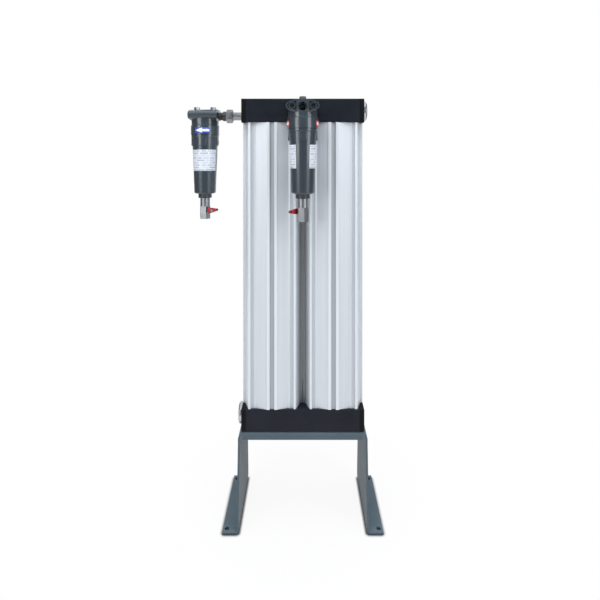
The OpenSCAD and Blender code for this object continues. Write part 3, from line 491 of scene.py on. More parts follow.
# %% Column outline
def unit(vectors):
    """Vectors brought to the length 1."""
    return vectors / np.linalg.norm(vectors, axis=1, keepdims=True)


def rounded_outline(corners, radii, steps=9):
    """Closed outline with an arc at each corner.

    The arc's centre lies on the line that halves the corner, at the radius over the sine of half the
    corner's angle. The arc runs between the two points where the circle touches the corner's sides.
    """
    before = unit(np.roll(corners, 1, axis=0) - corners)
    after = unit(np.roll(corners, -1, axis=0) - corners)
    middle = unit(before + after)
    half = np.arccos(np.clip((before * after).sum(1), -1, 1)) / 2
    centres = corners + middle * (radii / np.sin(half))[:, None]
    touch = corners + before * (radii / np.tan(half))[:, None] - centres
    leave = corners + after * (radii / np.tan(half))[:, None] - centres
    start = np.arctan2(touch[:, 1], touch[:, 0])
    turn = np.arctan2(leave[:, 1], leave[:, 0]) - start
    turn = (turn + np.pi) % (2 * np.pi) - np.pi
    angles = start[:, None] + turn[:, None] * np.linspace(0, 1, steps)
    arcs = np.stack([np.cos(angles), np.sin(angles)], -1) * radii[:, None, None]
    return (centres[:, None] + arcs).reshape(-1, 2)


quarter_xy = np.stack([quarter[:, 0], COLUMN_HALF_D - quarter[:, 1]], -1)
flips = [(1, 1), (1, -1), (-1, -1), (-1, 1)]
corner_loop = np.concatenate([(quarter_xy * f)[::1 if f[0] * f[1] > 0 else -1] for f in flips])
radius_loop = np.concatenate([quarter[:, 2][::1 if f[0] * f[1] > 0 else -1] for f in flips])
column_outline = rounded_outline(corner_loop, radius_loop)
print("column outline:", len(corner_loop), "corners,", len(column_outline), "points")

# %% [markdown]
# ### Painted shade in the grooves
#
# The grooves of the columns and the gap between them get less light, so they look darker. That shade
# is painted into the metal's colour. A dark colour could be painted by hand. Here each point of the
# outline counts how much of its view is open, and the material darkens the metal by that number.

# %% Openness of the outline
COLUMN_PITCH = (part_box("right_column")[0].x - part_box("left_column")[0].x) / MM
FAN_HALF, FAN_RAYS = 84, 25
NEAR, REACH = 0.05, 40.0
TINY = 1e-9


def cross(a, b):
    """Cross product of flat vectors."""
    return a[..., 0] * b[..., 1] - a[..., 1] * b[..., 0]


def openness(outline, neighbour_x):
    """Share of open directions at each point of the outline.

    From each point, rays fan out on both sides of the outward direction. A ray is closed if it crosses
    an edge of the outline itself or of the neighbouring column within reach. The share of open rays is
    the result.
    """
    before = np.roll(outline, 1, axis=0) - outline
    after = np.roll(outline, -1, axis=0) - outline
    along = unit(after) - unit(before)
    turning = np.sign(cross(outline, np.roll(outline, -1, axis=0)).sum())
    outward = np.arctan2(-along[:, 0], along[:, 1]) + (np.pi if turning < 0 else 0)
    fan = outward[:, None] + np.radians(np.linspace(-FAN_HALF, FAN_HALF, FAN_RAYS))
    rays = np.stack([np.cos(fan), np.sin(fan)], -1)[:, :, None]
    starts = np.concatenate([outline, outline + [neighbour_x, 0.0]])
    edges = np.concatenate([after, after])
    gap = starts - outline[:, None, None]
    size = cross(rays, edges)
    size = np.where(np.abs(size) < TINY, TINY, size)
    far = cross(gap, edges) / size
    share = cross(gap, rays) / size
    closed = ((far > NEAR) & (far < REACH) & (share >= 0) & (share <= 1)).any(axis=2)
    return 1 - closed.mean(axis=1)


print("openness:", np.round(np.percentile(openness(column_outline, COLUMN_PITCH), [0, 25, 50, 75]), 2))

# %% [markdown]
# ### Painted shade in the metal
#
# Two tones of metal could be given to two sets of faces, but the change is gradual. So the mesh keeps
# the openness as an attribute, and the material multiplies the metal's colour by a grey for it, as
# painted shade. The streaks of the metal stay, and one material serves both columns.

# %% Metal with shade painted into its grooves
# Each stop: an openness, and the grey of painted shade that the metal's colour is multiplied by there.
GROOVE_SHADE_TONES = [
    (0.25, (0.10, 0.10, 0.104)), (0.37, (0.50, 0.50, 0.50)), (0.50, (0.66, 0.66, 0.66)),
    (0.58, (0.88, 0.88, 0.88)), (0.84, (0.86, 0.86, 0.86)), (0.96, (1.0, 1.0, 1.0)),
]


def paint_groove_shade(metal):
    """Copy of the metal with painted shade: its colour is multiplied by a grey that follows the openness."""
    material = metal.copy()
    material.name = "column_painted_shade"
    tree = material.node_tree
    shader = tree.nodes["Principled BSDF"]
    colour = shader.inputs["Base Color"].links[0].from_socket
    shade_openness = tree.nodes.new("ShaderNodeAttribute")
    shade_openness.attribute_name = "openness"
    mix = tree.nodes.new("ShaderNodeMix")
    mix.data_type = "RGBA"
    mix.blend_type = "MULTIPLY"
    mix.inputs["Factor"].default_value = 1.0
    tree.links.new(colour, mix.inputs["A"])
    tree.links.new(ramp(tree, shade_openness.outputs["Fac"], GROOVE_SHADE_TONES), mix.inputs["B"])
    tree.links.new(mix.outputs["Result"], shader.inputs["Base Color"])
    return material


# The columns' metal, with shade painted into its grooves and into the gap between the columns.
groove_shaded_metal = paint_groove_shade(finishes["column_aluminium"])
print("groove tones:", len(GROOVE_SHADE_TONES))

# %% [markdown]
# ### The extrusions
#
# The real column is sawn off a long bar, and a round chamber runs right through it. A plain block with
# a hole cut in it would do, but cuts leave untidy faces. Here the outline and the chamber's circle are
# rings with the same number of points, so the tube is one clean grid that closes on itself.

# %% Columns
BED_GAP = 0.3
CHAMBER_R = half_size("left_desiccant_bed")[0] + BED_GAP
# One openness for the whole inside of the chamber, so one fixed painted shade there.
INSIDE_OPENNESS = 0.6


def column(node_name, neighbour_x):
    """Tube whose outside is the outline and whose inside is the round chamber.

    Four rings of points close into one shell: the outline at the foot and at the top, then the
    chamber at the top and at the foot. The chamber's points are spread by the outline's length.
    """
    low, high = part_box(node_name)
    length = np.linalg.norm(np.diff(column_outline, axis=0, prepend=column_outline[-1:]), axis=1)
    share = np.cumsum(length) / length.sum()
    angle = np.arctan2(*column_outline[0, ::-1]) - 2 * np.pi * (share - share[0])
    chamber = CHAMBER_R * np.stack([np.cos(angle), np.sin(angle)], -1)
    rings = np.stack([column_outline, column_outline, chamber, chamber]) * MM
    rings = rings + [(low.x + high.x) / 2, (low.y + high.y) / 2]
    levels = np.array([low.z, high.z, high.z, low.z])
    heights = np.broadcast_to(levels[:, None, None], (*rings.shape[:2], 1))
    points = np.concatenate([rings, heights], -1)
    piece = skin(node_name + "_extrusion", points, close_rows=True, close_columns=True, smooth_angle=25)
    # The openness becomes painted shade in the metal's colour; the chamber's inside gets one fixed value.
    outside = openness(column_outline, neighbour_x)
    inside = np.full_like(outside, INSIDE_OPENNESS)
    shade_openness = np.concatenate([outside, outside, inside, inside])
    values = piece.data.attributes.new("openness", "FLOAT", "POINT")
    values.data.foreach_set("value", shade_openness.astype(np.float32))
    face_outwards(piece)
    return dress(piece, groove_shaded_metal, "dryer", [node_name])


for node_name, neighbour_x in (("left_column", COLUMN_PITCH), ("right_column", -COLUMN_PITCH)):
    column(node_name, neighbour_x)

# %% [markdown]
# ## Filter bowls
#
# Each bowl is an aluminium casting that screws up into its head. It is turned round one axis, apart
# from the four lugs under its collar, where a spanner grips it. So the surface is a radius that
# depends on the height and the angle: the turned section first, and the lugs raised out of it.

# %% Places of the filters
def filter_place(place, port):
    """Axis of a filter at its port's height, and the angle of its air flow about the upright axis."""
    low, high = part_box(place + "_filter_bowl")
    out = mounts[port]["axis"]
    sign = -1 if port == "air_inlet" else 1
    centre = np.array([(low.x + high.x) / 2, (low.y + high.y) / 2, mounts[port]["pos_m"][2]])
    return centre, math.atan2(sign * out[1], sign * out[0])


filters = {"front": filter_place("front", "air_inlet"), "side": filter_place("side", "air_outlet")}
print("filter axes:", {n: np.round(c, 4).tolist() for n, (c, _) in filters.items()})


def wrap(place, radius, angle, height):
    """Points in the frame from a filter's own radius, angle and height in millimetres."""
    centre, flow = filters[place]
    around = np.stack(np.broadcast_arrays(
        radius * np.cos(angle + flow), radius * np.sin(angle + flow), height), -1)
    return centre + around * MM


# %% [markdown]
# ### Turned section
#
# A lathe could cut this shape, apart from the lugs. A Screw modifier could turn the section in the same
# way, but the lugs need a radius at each angle as well. So the section is a list of radius and height,
# from the neck down the outside and up the inside.

# %% Section of a bowl
NECK_TOP, NECK_R, NECK_BORE_R = -31.5, 30.7, 26.5
SKIRT_FOOT, COLLAR_FOOT, COLLAR_R = -50.5, -57.5, 36.5
TOP_EDGE, FOOT_EDGE, BOSS_FILLET = 0.8, 1.0, 0.9
TAPER_R, TAPER_DROP, TAPER_ROWS = 35.0, 0.3, 80
WAIST, WAIST_R = -91.5, 32.5
CREASE = 0.01
BOWL_FOOT, FOOT_R, FOOT_CORNER = -207.5, 28.5, 4.0
BORE_R, BORE_NECK = 28.5, 4.0
CUP_R, CUP_CORNER, CUP_FLOOR = 24.5, 5.0, BOWL_FOOT + 4.0
BOSS_FOOT, BOSS_R = -219.5, 18.0
DRAIN_R, DRAIN_TOP, PASSAGE_R = 8.2, BOSS_FOOT + 11.0, 4.0


def arc_points(x, z, r, start, end, steps=9):
    """Points of an arc round (x, z), with angles in degrees."""
    a = np.radians(np.linspace(start, end, steps))
    return np.stack([x + r * np.cos(a), z + r * np.sin(a)], -1)


def bowl_section():
    """Closed half-section of the bowl as radius and height: down its outside and up its inside.

    The taper under the collar has many close rows, because the lugs are raised out of them. A crease
    keeps the corner above it sharp.
    """
    taper_r = np.linspace(TAPER_R - 2 * CREASE, WAIST_R, TAPER_ROWS)
    taper_z = np.linspace(COLLAR_FOOT - TAPER_DROP, WAIST, TAPER_ROWS)
    outside = np.concatenate([
        [[NECK_R, NECK_TOP], [NECK_R, SKIRT_FOOT]],
        arc_points(COLLAR_R - TOP_EDGE, SKIRT_FOOT - TOP_EDGE, TOP_EDGE, 90, 0, 5),
        arc_points(COLLAR_R - FOOT_EDGE, COLLAR_FOOT + FOOT_EDGE, FOOT_EDGE, 0, -90, 5),
        [[TAPER_R, COLLAR_FOOT - CREASE]],
        np.stack([taper_r, taper_z], -1),
        arc_points(FOOT_R - FOOT_CORNER, BOWL_FOOT + FOOT_CORNER, FOOT_CORNER, 0, -90, 12),
        arc_points(BOSS_R + BOSS_FILLET, BOWL_FOOT - BOSS_FILLET, BOSS_FILLET, 90, 180, 4),
        arc_points(BOSS_R - FOOT_EDGE, BOSS_FOOT + FOOT_EDGE, FOOT_EDGE, 0, -90, 5),
    ])
    inside = np.concatenate([
        [[DRAIN_R, BOSS_FOOT], [DRAIN_R, DRAIN_TOP], [PASSAGE_R, DRAIN_TOP], [PASSAGE_R, CUP_FLOOR]],
        arc_points(CUP_R - CUP_CORNER, CUP_FLOOR + CUP_CORNER, CUP_CORNER, -90, 0, 6),
        [[BORE_R, WAIST], [BORE_R, COLLAR_FOOT - BORE_NECK]],
        [[NECK_BORE_R, COLLAR_FOOT], [NECK_BORE_R, NECK_TOP]],
    ])
    return outside, inside


print("bowl section:", [len(half) for half in bowl_section()], "points outside and inside")

# %% [markdown]
# ### Lugs
#
# The lugs are cast with the bowl, with soft edges and round lower corners. They could be boxes joined
# to the bowl, but the joins would show. Here they are part of the bowl's own surface: a mask says
# where a lug is, and the radius grows to the lug's radius there.

# %% Bowls
LUG_R, LUG_HALF_W, LUG_H, LUG_CORNER = 36.2, 10.5, 22.0, 3.0
LUG_EDGE, LUG_TOP = 1.4, 0.2
ROOT_H, ROOT_FLARE = 4.0, 3.0
BOWL_STEPS = 360


def lug_mask(angle, height):
    """1 on a lug and 0 beside it, with a soft edge.

    The nearest lug's middle is found by folding the angle into a quarter turn. The distance to a
    rectangle with round lower corners is negative inside, and a smooth step turns it into the mask.
    Close under the collar the lug flares, by a square that fades over the root's height.
    """
    quarter_turn = np.pi / 2
    across = np.abs((angle + quarter_turn / 2) % quarter_turn - quarter_turn / 2) * LUG_R
    down = COLLAR_FOOT - height
    x = across - (LUG_HALF_W - LUG_CORNER)
    y = down - (LUG_H - LUG_CORNER)
    outside = np.hypot(np.maximum(x, 0), np.maximum(y, 0))
    distance = outside + np.minimum(np.maximum(x, y), 0) - LUG_CORNER
    root = np.clip(1 - down / ROOT_H, 0, 1) ** 2 * ROOT_FLARE
    step = np.clip((LUG_EDGE / 2 + root - distance) / LUG_EDGE, 0, 1)
    return np.where(down > -LUG_TOP, step * step * (3 - 2 * step), 0)


def bowl(place):
    """Turned bowl with four lugs: the radius grows to the lugs' radius where the mask is 1."""
    outside, inside = bowl_section()
    section = np.concatenate([outside, inside])
    angle = np.linspace(0, 2 * np.pi, BOWL_STEPS, endpoint=False)
    radius = np.repeat(section[:, :1], len(angle), axis=1)
    height = np.repeat(section[:, 1:], len(angle), axis=1)
    is_outside = np.arange(len(section))[:, None] < len(outside)
    mask = lug_mask(angle[None, :], height) * is_outside * (radius > NECK_R)
    radius = radius + np.maximum(LUG_R - radius, 0) * mask
    points = wrap(place, radius, angle[None, :], height)
    piece = skin(place + "_bowl_casting", points, close_rows=True, close_columns=True, smooth_angle=40)
    face_outwards(piece)
    return dress(piece, finishes["filter_paint"], "dryer", [place + "_filter_bowl"])


for place in filters:
    bowl(place)

# %% [markdown]
# ## Labels and flow arrows
#
# Each bowl carries a thin label on both sides, and each skirt a small sticker with an arrow along the
# air's way. They could be painted into the material, but a real label is a sheet with an edge. So each
# is a patch of the round surface, lifted by the thickness of a sticker, with plain bars for its print.

# %% Patches on the round surface
SKIRT_R = 37.5
STICKER, SINK = 0.25, 0.1


def bowl_radius(height):
    """Radius of the bowl's taper at a height: a straight line from its waist to its foot."""
    return np.interp(height, [BOWL_FOOT + FOOT_CORNER, WAIST], [FOOT_R, WAIST_R])


def skirt_radius(height):
    """Radius of the head's skirt, the same at every height."""
    return np.full_like(height, SKIRT_R)


def thicken(piece, millimetres):
    """Gives an open patch its thickness, inwards from its outer face."""
    solid = piece.modifiers.new("sheet", "SOLIDIFY")
    solid.thickness = millimetres * MM
    solid.offset = -1.0
    return piece


def patch(name, place, angles, heights, radius_of):
    """Patch of a turned surface: the angle runs along the columns and the height down the rows.

    Its outer face lies a sticker's thickness above the surface, and its inner face just below it.
    """
    angle, height = np.meshgrid(angles, heights)
    points = wrap(place, radius_of(height) + STICKER, angle, height)
    return thicken(skin(name, points), STICKER + SINK)


print("bowl radius at its waist:", bowl_radius(WAIST), "mm, at its foot:", bowl_radius(BOWL_FOOT), "mm")

# %% [markdown]
# ### Print
#
# Print is ink on a pale film. An image could carry it, but a pattern made of nodes stays sharp at any
# distance. A Brick texture in the patch's own UV map draws rows of plain bars.

# %% Finishes of the labels
BAR_OFFSET, BAR_SQUASH, SQUASH_EVERY, BAR_GAP = 0.37, 0.7, 3, 0.28
PAPER_GRAIN, PAPER_BUMP, PAPER_HEIGHT = 900, 0.1, 0.03 * MM


def label_print(name, paper, ink, rows, columns):
    """Paper with rows of plain bars, in the patch's own UV map."""
    material, tree, shader = finish(name, roughness=0.35)
    grid_place = tree.nodes.new("ShaderNodeUVMap")
    grid_place.uv_map = "grid"
    bars = tree.nodes.new("ShaderNodeTexBrick")
    bars.offset = BAR_OFFSET
    bars.squash = BAR_SQUASH
    bars.squash_frequency = SQUASH_EVERY
    bars.inputs["Color1"].default_value = (*ink, 1)
    bars.inputs["Color2"].default_value = (*paper, 1)
    bars.inputs["Mortar"].default_value = (*paper, 1)
    bars.inputs["Scale"].default_value = 1.0
    bars.inputs["Brick Width"].default_value = 1.0 / columns
    bars.inputs["Row Height"].default_value = 1.0 / rows
    bars.inputs["Mortar Size"].default_value = BAR_GAP / rows
    tree.links.new(grid_place.outputs["UV"], bars.inputs["Vector"])
    tree.links.new(bars.outputs["Color"], shader.inputs["Base Color"])
    bumps(tree, shader, noise(tree, PAPER_GRAIN), PAPER_BUMP, PAPER_HEIGHT)
    return material


label_paper = label_print("label_paper", (0.66, 0.70, 0.77), (0.34, 0.38, 0.44), rows=9, columns=3)
film = {"roughness": 0.35, "grain": 900}
sticker_blue = painted("sticker_blue", (0.03, 0.06, 0.42), (0.04, 0.08, 0.50), **film)
sticker_red = painted("sticker_red", (0.60, 0.03, 0.02), (0.68, 0.05, 0.03), **film)
sticker_white = painted("sticker_white", (0.78, 0.79, 0.81), (0.84, 0.85, 0.87), **film)
print("label finishes:", label_paper.name, sticker_blue.name, sticker_red.name, sticker_white.name)

# %% [markdown]
# ### Labels
#
# A label is a sheet that is bent round the bowl below its lugs, one on each side. A flat sheet could be
# wrapped by a modifier, but the bowl tapers. A patch with the bowl's own radius always lies on it.

# %% Labels on the bowls
LABEL_HALF_SPAN, LABEL_TOP, LABEL_FOOT = math.radians(66), -90.5, -146.5
LABEL_COLUMNS, LABEL_ROWS = 97, 25
LABEL_MIDDLE = {"front": math.radians(84), "side": math.radians(96)}
SIDES = {"a": 1, "b": -1}

for place in filters:
    for side_name, side in SIDES.items():
        spread = np.linspace(-LABEL_HALF_SPAN, LABEL_HALF_SPAN, LABEL_COLUMNS)
        around = side * LABEL_MIDDLE[place] + spread
        levels = np.linspace(LABEL_TOP, LABEL_FOOT, LABEL_ROWS)
        dress(patch(f"{place}_label_{side_name}", place, around, levels, bowl_radius), label_paper)

# %% [markdown]
# ### Flow arrows
#
# A sticker on each skirt shows which way the air goes: red at the inlet, blue at the outlet, with a
# white arrow. The arrow could be cut out of the sticker, but a second thin sheet on top needs no cut.
# It is a grid whose height changes along it.

# %% Arrow stickers on the skirts
ARROW_HALF_SPAN = math.radians(31)
ARROW_LEVEL, ARROW_HALF_H = -39.5, 7.5
STICKER_COLUMNS, STICKER_ROWS = 49, 7
ARROW_REACH, SHAFT_SHARE, HEAD_SHARE, ARROW_STEPS = 0.92, 0.42, 0.9, 25


def arrow(name, place, side):
    """Arrow that points along the air flow: its half-height depends on the place along it.

    The shaft keeps one half-height. At the head's base it jumps to the full height, and from there it
    falls evenly to nothing at the tip.
    """
    shaft = np.linspace(-ARROW_REACH, 0.0, ARROW_STEPS)
    head = np.linspace(0.0, ARROW_REACH, ARROW_STEPS)
    along = np.concatenate([shaft, head])
    half = np.concatenate([np.full(ARROW_STEPS, SHAFT_SHARE), np.linspace(HEAD_SHARE, 0.0, ARROW_STEPS)])
    across = np.linspace(-1, 1, STICKER_ROWS)[:, None]
    angle = side * np.pi / 2 - side * along[None, :] * ARROW_HALF_SPAN
    height = ARROW_LEVEL + side * across * half[None, :] * ARROW_HALF_H
    return thicken(skin(name, wrap(place, SKIRT_R + 2 * STICKER, angle, height)), STICKER)


for place, ground in (("front", sticker_red), ("side", sticker_blue)):
    for side_name, side in SIDES.items():
        spread = np.linspace(-ARROW_HALF_SPAN, ARROW_HALF_SPAN, STICKER_COLUMNS)
        around = side * np.pi / 2 + spread
        levels = np.linspace(ARROW_LEVEL + ARROW_HALF_H, ARROW_LEVEL - ARROW_HALF_H, STICKER_ROWS)
        dress(patch(f"{place}_sticker_{side_name}", place, around, levels, skirt_radius), ground)
        dress(arrow(f"{place}_arrow_{side_name}", place, side), sticker_white)

# %% [markdown]
# ## Cast rings
#
# A round mark is cast on one lug of each bowl. It could be a bump in the paint, but an edge that stands
# out needs real faces. A ring on a round wall is a circle laid on the wall, with a small round section
# carried along it.

# %% Cast rings on the lugs
MARK_R, MARK_WIRE, MARK_LEVEL = 3.4, 0.55, -70.0
MARKED_LUG = np.pi
RING_STEPS, WIRE_STEPS = 48, 10


def cast_ring(place):
    """Ring of round section: a circle on the lug's wall, with the section's circle carried along it."""
    turn = np.linspace(0, 2 * np.pi, RING_STEPS, endpoint=False)[:, None]
    section = np.linspace(0, 2 * np.pi, WIRE_STEPS, endpoint=False)[None, :]
    reach = MARK_R + MARK_WIRE * np.cos(section)
    angle = MARKED_LUG + reach * np.cos(turn) / LUG_R
    height = MARK_LEVEL + reach * np.sin(turn)
    radius = LUG_R + MARK_WIRE * np.sin(section)
    points = wrap(place, radius, angle, height)
    piece = skin(f"{place}_lug_ring", points, close_rows=True, close_columns=True)
    face_outwards(piece)
    return dress(piece, finishes["filter_paint"], "dryer")


for place in filters:
    cast_ring(place)

# %% [markdown]
# ## Pipe thread
#
# The stub beside the side filter has a pipe thread. A bump in its material would look flat at the edge
# of the stub, where a thread shows most. So it has real faces: a cylinder whose radius rises and falls
# along the length, and shifts by one pitch in a turn.

# %% Pipe thread on the stub
THREAD_PITCH, THREAD_DEPTH, THREAD_CREST, THREAD_BORE = 1.8, 0.9, 10.75, 0.85
STEPS_PER_PITCH, STEPS_PER_TURN = 10, 96
STUB_L, STUB_GAP = 11.0, 0.5


def thread(name, x_start, x_end, y, z):
    """Threaded sleeve along X: the radius is a triangle wave of the length less the turn's share.

    Two more rings inside it, at a share of the end rings' radius, close the sleeve.
    """
    along = np.linspace(x_start, x_end, int((x_end - x_start) / MM / THREAD_PITCH * STEPS_PER_PITCH))
    along = along[:, None]
    turn = np.linspace(0, 2 * np.pi, STEPS_PER_TURN, endpoint=False)[None, :]
    phase = (along / MM / THREAD_PITCH - turn / (2 * np.pi)) % 1.0
    radius = (THREAD_CREST - THREAD_DEPTH * np.abs(2 * phase - 1)) * MM
    points = np.stack(np.broadcast_arrays(along, y + radius * np.cos(turn), z + radius * np.sin(turn)), -1)
    inner = points[[-1, 0]].copy()
    inner[:, :, 1:] = [y, z] + (inner[:, :, 1:] - [y, z]) * THREAD_BORE
    rings = np.concatenate([points, inner])
    piece = skin(name, rings, close_rows=True, close_columns=True, smooth_angle=60)
    face_outwards(piece)
    return piece


head_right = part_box("side_filter_head")[1].x
outlet_z = mounts["air_outlet"]["pos_m"][2]
stub_thread = thread("stub_thread", head_right, head_right + (STUB_L - STUB_GAP) * MM, 0.0, outlet_z)
dress(stub_thread, finishes["fitting_grey"], "dryer")

# %% [markdown]
# ## Lever grips
#
# The drain levers are steel, dipped in red plastic and closed by a black tip. A painted band on the
# lever would look flat, so the grip is a section carried along the lever: a rounded rectangle that
# follows the lever's taper.

# %% A sleeve on the lever
HUB_R, TIP_R, LEVER_L, LEVER_T, LEVER_X = 7.5, 2.5, 27.0, 5.0, 17.3
UP = np.array([0.0, 0.0, 1.0])
SECTION_STEPS = 40


def lever_frame(body):
    """Hinge point, stem direction and lever direction of a drain lever."""
    hinge = hinges[body]
    stem = -np.array(hinge["axis"], float)
    return np.array(hinge["pos_m"], float), stem, np.cross(UP, stem)


def sleeve(name, body, along, swell, squareness=5.0):
    """Section carried along the lever, as thick as the lever and as wide as its taper.

    Each section is a superellipse: the sine and cosine of the angle are raised to a small power, which
    flattens its sides. The swell is added to both of its half-sizes.
    """
    hinge, stem, lever = lever_frame(body)
    turn = np.linspace(0, 2 * np.pi, SECTION_STEPS, endpoint=False)[None, :]
    power = 2.0 / squareness
    c = np.sign(np.cos(turn)) * np.abs(np.cos(turn)) ** power
    s = np.sign(np.sin(turn)) * np.abs(np.sin(turn)) ** power
    half_w = np.interp(along, [0, LEVER_L - TIP_R], [HUB_R, TIP_R])
    thick = np.maximum(LEVER_T / 2 + swell, 0)[:, None] * c
    wide = np.maximum(half_w + swell, 0)[:, None] * s
    middle = hinge + stem * (LEVER_X + LEVER_T / 2) * MM
    points = middle + MM * (along[:, None, None] * lever + thick[..., None] * stem + wide[..., None] * UP)
    piece = skin(name, points, close_columns=True, smooth_angle=50)
    face_outwards(piece)
    return piece


print("levers point along", {body: lever_frame(body)[2].round(3).tolist() for body in hinges})

# %% [markdown]
# ### Grips and tips
#
# Near the hub the grip has ribs for the finger, and its tip is domed. Both could be sculpted, but the
# sleeve already takes a swell at each place along it. A wave makes the ribs, a falling curve makes the
# dome, and a swell far below zero closes an end.

# %% Grips and tips
CLOSED = -9.0
GRIP_START, GRIP_END, GRIP_SWELL = 9.0, 20.5, 0.35
RIB_DEPTH, RIB_PITCH, RIBS_END = 0.3, 2.4, 16.5
TIP_END, TIP_SWELL, TIP_EDGE = 26.9, 0.45, 0.2
DOME_START, DOME_L, DOME_DROP = 25.2, 1.7, 3.0
GRIP_STEPS, TIP_STEPS = 70, 24

for body in hinges:
    run = np.linspace(GRIP_START, GRIP_END, GRIP_STEPS)
    wave = np.sin((run - GRIP_START) * 2 * np.pi / RIB_PITCH) * (run < RIBS_END)
    swell = np.concatenate([[CLOSED, 0.0], GRIP_SWELL + RIB_DEPTH * wave, [0.0, CLOSED]])
    along = np.concatenate([[GRIP_START, GRIP_START], run, [GRIP_END, GRIP_END]])
    dress(sleeve(body + "_grip", body, along, swell), finishes["lever_red"], body)

    run = np.linspace(GRIP_END, TIP_END, TIP_STEPS)
    dome = TIP_SWELL - DOME_DROP * np.clip((run - DOME_START) / DOME_L, 0, 1) ** 3
    swell = np.concatenate([[CLOSED, TIP_EDGE], dome, [CLOSED]])
    along = np.concatenate([[GRIP_END, GRIP_END], run, [TIP_END]])
    dress(sleeve(body + "_tip", body, along, swell), finishes["rubber"], body)

# %% [markdown]
# ## White ground
#
# The photograph has a plain white ground. More light would make any floor white, but it would bleach
# the dryer too. So the floor and the background glow white only where the camera or a reflection sees
# them, and light the dryer as a plain floor and a dim sky do.

# %% White for the camera
def combine(tree, operation, first, second):
    """One math node; the second value is a socket or a number."""
    node = tree.nodes.new("ShaderNodeMath")
    node.operation = operation
    tree.links.new(first, node.inputs[0])
    if isinstance(second, float):
        node.inputs[1].default_value = second
    else:
        tree.links.new(second, node.inputs[1])
    return node.outputs[0]


def white_ground(tree, surface, white_share=None):
    """Shows white to the camera and to reflections; a white share below 1 lets the surface show."""
    path = tree.nodes.new("ShaderNodeLightPath")
    seen = combine(tree, "MAXIMUM", path.outputs["Is Camera Ray"], path.outputs["Is Glossy Ray"])
    seen = combine(tree, "MAXIMUM", seen, path.outputs["Is Transmission Ray"])
    if white_share:
        seen = combine(tree, "MULTIPLY", seen, white_share)
    white = tree.nodes.new("ShaderNodeEmission")
    white.inputs["Color"].default_value = (1, 1, 1, 1)
    mix = tree.nodes.new("ShaderNodeMixShader")
    tree.links.new(seen, mix.inputs["Fac"])
    tree.links.new(surface, mix.inputs[1])
    tree.links.new(white.outputs[0], mix.inputs[2])
    return mix.outputs[0]


# %% [markdown]
# ### Floor
#
# On a floor that is white everywhere, the dryer would seem to float. A dark patch could be painted under
# it, but the floor's own shading is truer, so a little of it shows near the stand as a soft shadow.
# Close under metal, as in a bolt hole, the floor stays dark by painted shade: an occlusion value darkens
# its colour and lowers its white share.

# %% Floor
FLOOR_HALF, FLOOR_DROP, FLOOR_POINTS = 6.0, 0.6 * MM, 5
FLOOR_PAINTED_SHADE, FLOOR_OPEN = (0.01, 0.01, 0.01), (0.62, 0.62, 0.62)
CONTACT_REACH, CONTACT_SHARPNESS = 9 * MM, 4.0
SHADE_INNER, SHADE_OUTER, SHADE_SHARE = 0.15, 0.5, 0.08


def fading_shade(tree):
    """White share that is lower near the origin, so that a soft shadow shows under the dryer only."""
    coordinates = tree.nodes.new("ShaderNodeTexCoord")
    distance = tree.nodes.new("ShaderNodeVectorMath")
    distance.operation = "LENGTH"
    fade = tree.nodes.new("ShaderNodeMapRange")
    fade.interpolation_type = "SMOOTHSTEP"
    fade.inputs["From Min"].default_value = SHADE_INNER
    fade.inputs["From Max"].default_value = SHADE_OUTER
    fade.inputs["To Min"].default_value = 1 - SHADE_SHARE
    fade.inputs["To Max"].default_value = 1.0
    tree.links.new(coordinates.outputs["Object"], distance.inputs[0])
    tree.links.new(distance.outputs["Value"], fade.inputs["Value"])
    return fade.outputs["Result"]


def contact(tree):
    """Painted shade: falls from 1 to 0 where something stands close over the floor, as in a bolt hole."""
    near = tree.nodes.new("ShaderNodeAmbientOcclusion")
    near.inputs["Distance"].default_value = CONTACT_REACH
    return combine(tree, "POWER", near.outputs["AO"], CONTACT_SHARPNESS)


spread = np.linspace(-FLOOR_HALF, FLOOR_HALF, FLOOR_POINTS)
floor_x, floor_y = np.meshgrid(spread, spread)
floor = skin("floor", np.stack([floor_x, floor_y, np.full_like(floor_x, -FLOOR_DROP)], -1))
floor_paint, floor_tree, floor_shader = finish("floor_white", roughness=0.6)
clear = contact(floor_tree)
# Painted shade: the floor's colour runs dark where metal stands close over it.
tones(floor_tree, floor_shader, clear, FLOOR_PAINTED_SHADE, FLOOR_OPEN, low=0.1, high=0.9)
white_share = combine(floor_tree, "MULTIPLY", fading_shade(floor_tree), clear)
floor_out = floor_tree.nodes["Material Output"].inputs["Surface"]
floor_tree.links.new(white_ground(floor_tree, floor_shader.outputs[0], white_share), floor_out)
floor.data.materials.append(floor_paint)
floor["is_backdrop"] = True
print("floor:", 2 * FLOOR_HALF, "m wide")

# %% [markdown]
# ### Background
#
# Behind the dryer there is only white. A wall could stand there, but it would take shadows. The world's
# own colour has no surface, so it looks the same from every side.

# %% Background
AMBIENT, AMBIENT_COLOUR = 0.22, (0.97, 0.98, 1.0)

world = bpy.data.worlds.new("studio")
world.use_nodes = True
bpy.context.scene.world = world
ambient = world.node_tree.nodes["Background"]
ambient.inputs["Color"].default_value = (*AMBIENT_COLOUR, 1)
ambient.inputs["Strength"].default_value = AMBIENT
world_out = world.node_tree.nodes["World Output"].inputs["Surface"]
world.node_tree.links.new(white_ground(world.node_tree, ambient.outputs[0]), world_out)
print("background light:", AMBIENT)

# %% [markdown]
# ## Lights
#
# Two tall soft lights stand on both sides of the camera, and they show as two upright bands on each
# round filter. Small lamps would leave hard spots there. Two weaker ones stand behind, and a large one
# above lights the upper faces. Reflections don't see that one, so it leaves no glare.

# %% Lights
LAMP_COLOUR = (0.96, 0.98, 1.0)


def studio_place(bearing, distance, height):
    """Place at a bearing from the camera's side of the dryer, in degrees to the right."""
    a = math.radians(bearing)
    return (distance * math.sin(a), -distance * math.cos(a), height)


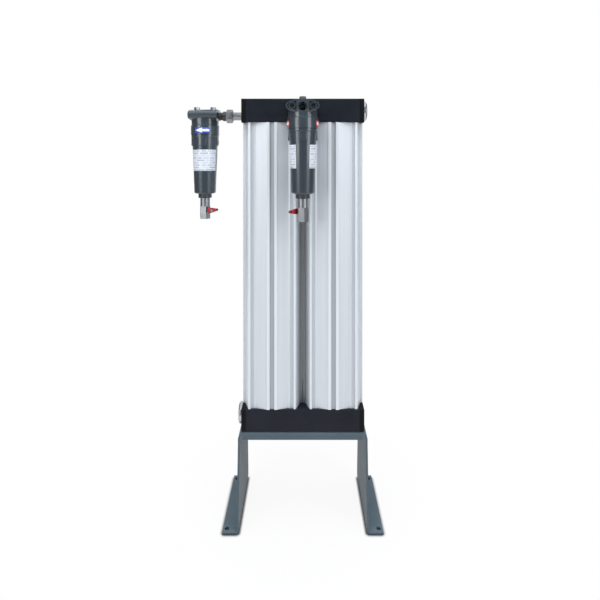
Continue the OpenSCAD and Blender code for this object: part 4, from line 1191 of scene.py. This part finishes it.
def soft_light(name, bearing, distance, height, width, tall, watts):
    """Tall rectangular lamp that faces the dryer's upright axis."""
    lamp = bpy.data.lights.new(name, "AREA")
    lamp.shape = "RECTANGLE"
    lamp.size, lamp.size_y = width, tall
    lamp.energy = watts
    lamp.color = LAMP_COLOUR
    stand_in = bpy.data.objects.new(name, lamp)
    stand_in.location = studio_place(bearing, distance, height)
    stand_in.rotation_euler = (math.radians(90), 0.0, math.radians(bearing))
    bpy.context.scene.collection.objects.link(stand_in)
    return stand_in


# Each light: bearing, distance and height, then its own width, its own height and its watts.
LIGHTS = {
    "left_light": (-42, 2.1, 1.7, 0.8, 2.0, 17.0),
    "right_light": (48, 2.1, 1.7, 0.8, 2.0, 17.0),
    "back_left_light": (-150, 2.2, 1.2, 0.7, 2.0, 5.0),
    "back_right_light": (150, 2.2, 1.2, 0.7, 2.0, 5.0),
    "top_light": (0, 0.5, 2.8, 2.8, 2.4, 130.0),
}
lights = {name: soft_light(name, *setting) for name, setting in LIGHTS.items()}
lights["top_light"].rotation_euler = (0.0, 0.0, 0.0)
lights["top_light"].visible_glossy = False
print("lights:", ", ".join(lights))

# %% [markdown]
# ## Dark cards
#
# Metal shows what it reflects, so it needs something dark as well as the white ground. A darker room
# would do, but its walls would show. Cards stand in front and on both sides instead, with gaps for the
# lights, where only reflections see them. The back stays open.

# %% Dark cards
CARD_DISTANCE, CARD_FOOT, CARD_TOP = 2.6, -0.2, 4.0
CARD_STEPS = 40
CARDS = {"front_card": (-28, 34), "right_card": (62, 165), "left_card": (195, 304)}
card_grey = painted(
    "card_grey", (0.16, 0.16, 0.165), (0.19, 0.19, 0.195), roughness=0.9, grain=300)


def dark_card(name, bearings):
    """Upright card on a circle round the dryer, between two bearings, seen by reflections only."""
    a = np.radians(np.linspace(*bearings, CARD_STEPS))[None, :]
    z = np.array([CARD_FOOT, CARD_TOP])[:, None]
    points = np.stack(np.broadcast_arrays(CARD_DISTANCE * np.sin(a), -CARD_DISTANCE * np.cos(a), z), -1)
    card = skin(name, points)
    card.data.materials.append(card_grey)
    card.visible_camera = False
    card.visible_diffuse = False
    card.visible_shadow = False
    card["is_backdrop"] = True
    return card


cards = [dark_card(card_name, bearings) for card_name, bearings in CARDS.items()]
print("cards:", len(cards))

# %% [markdown]
# ## Size
#
# Dressing the dryer must not change its size. The box of the solid model, taken at the start, is taken
# away from the box of what shows now, and how far it moved is printed.

# %% Print how far the box moved
dressed_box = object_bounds()
grown = np.array(dressed_box) - np.array(cad_box)
print("box moved by", np.round(grown / MM, 2).tolist(), "mm")
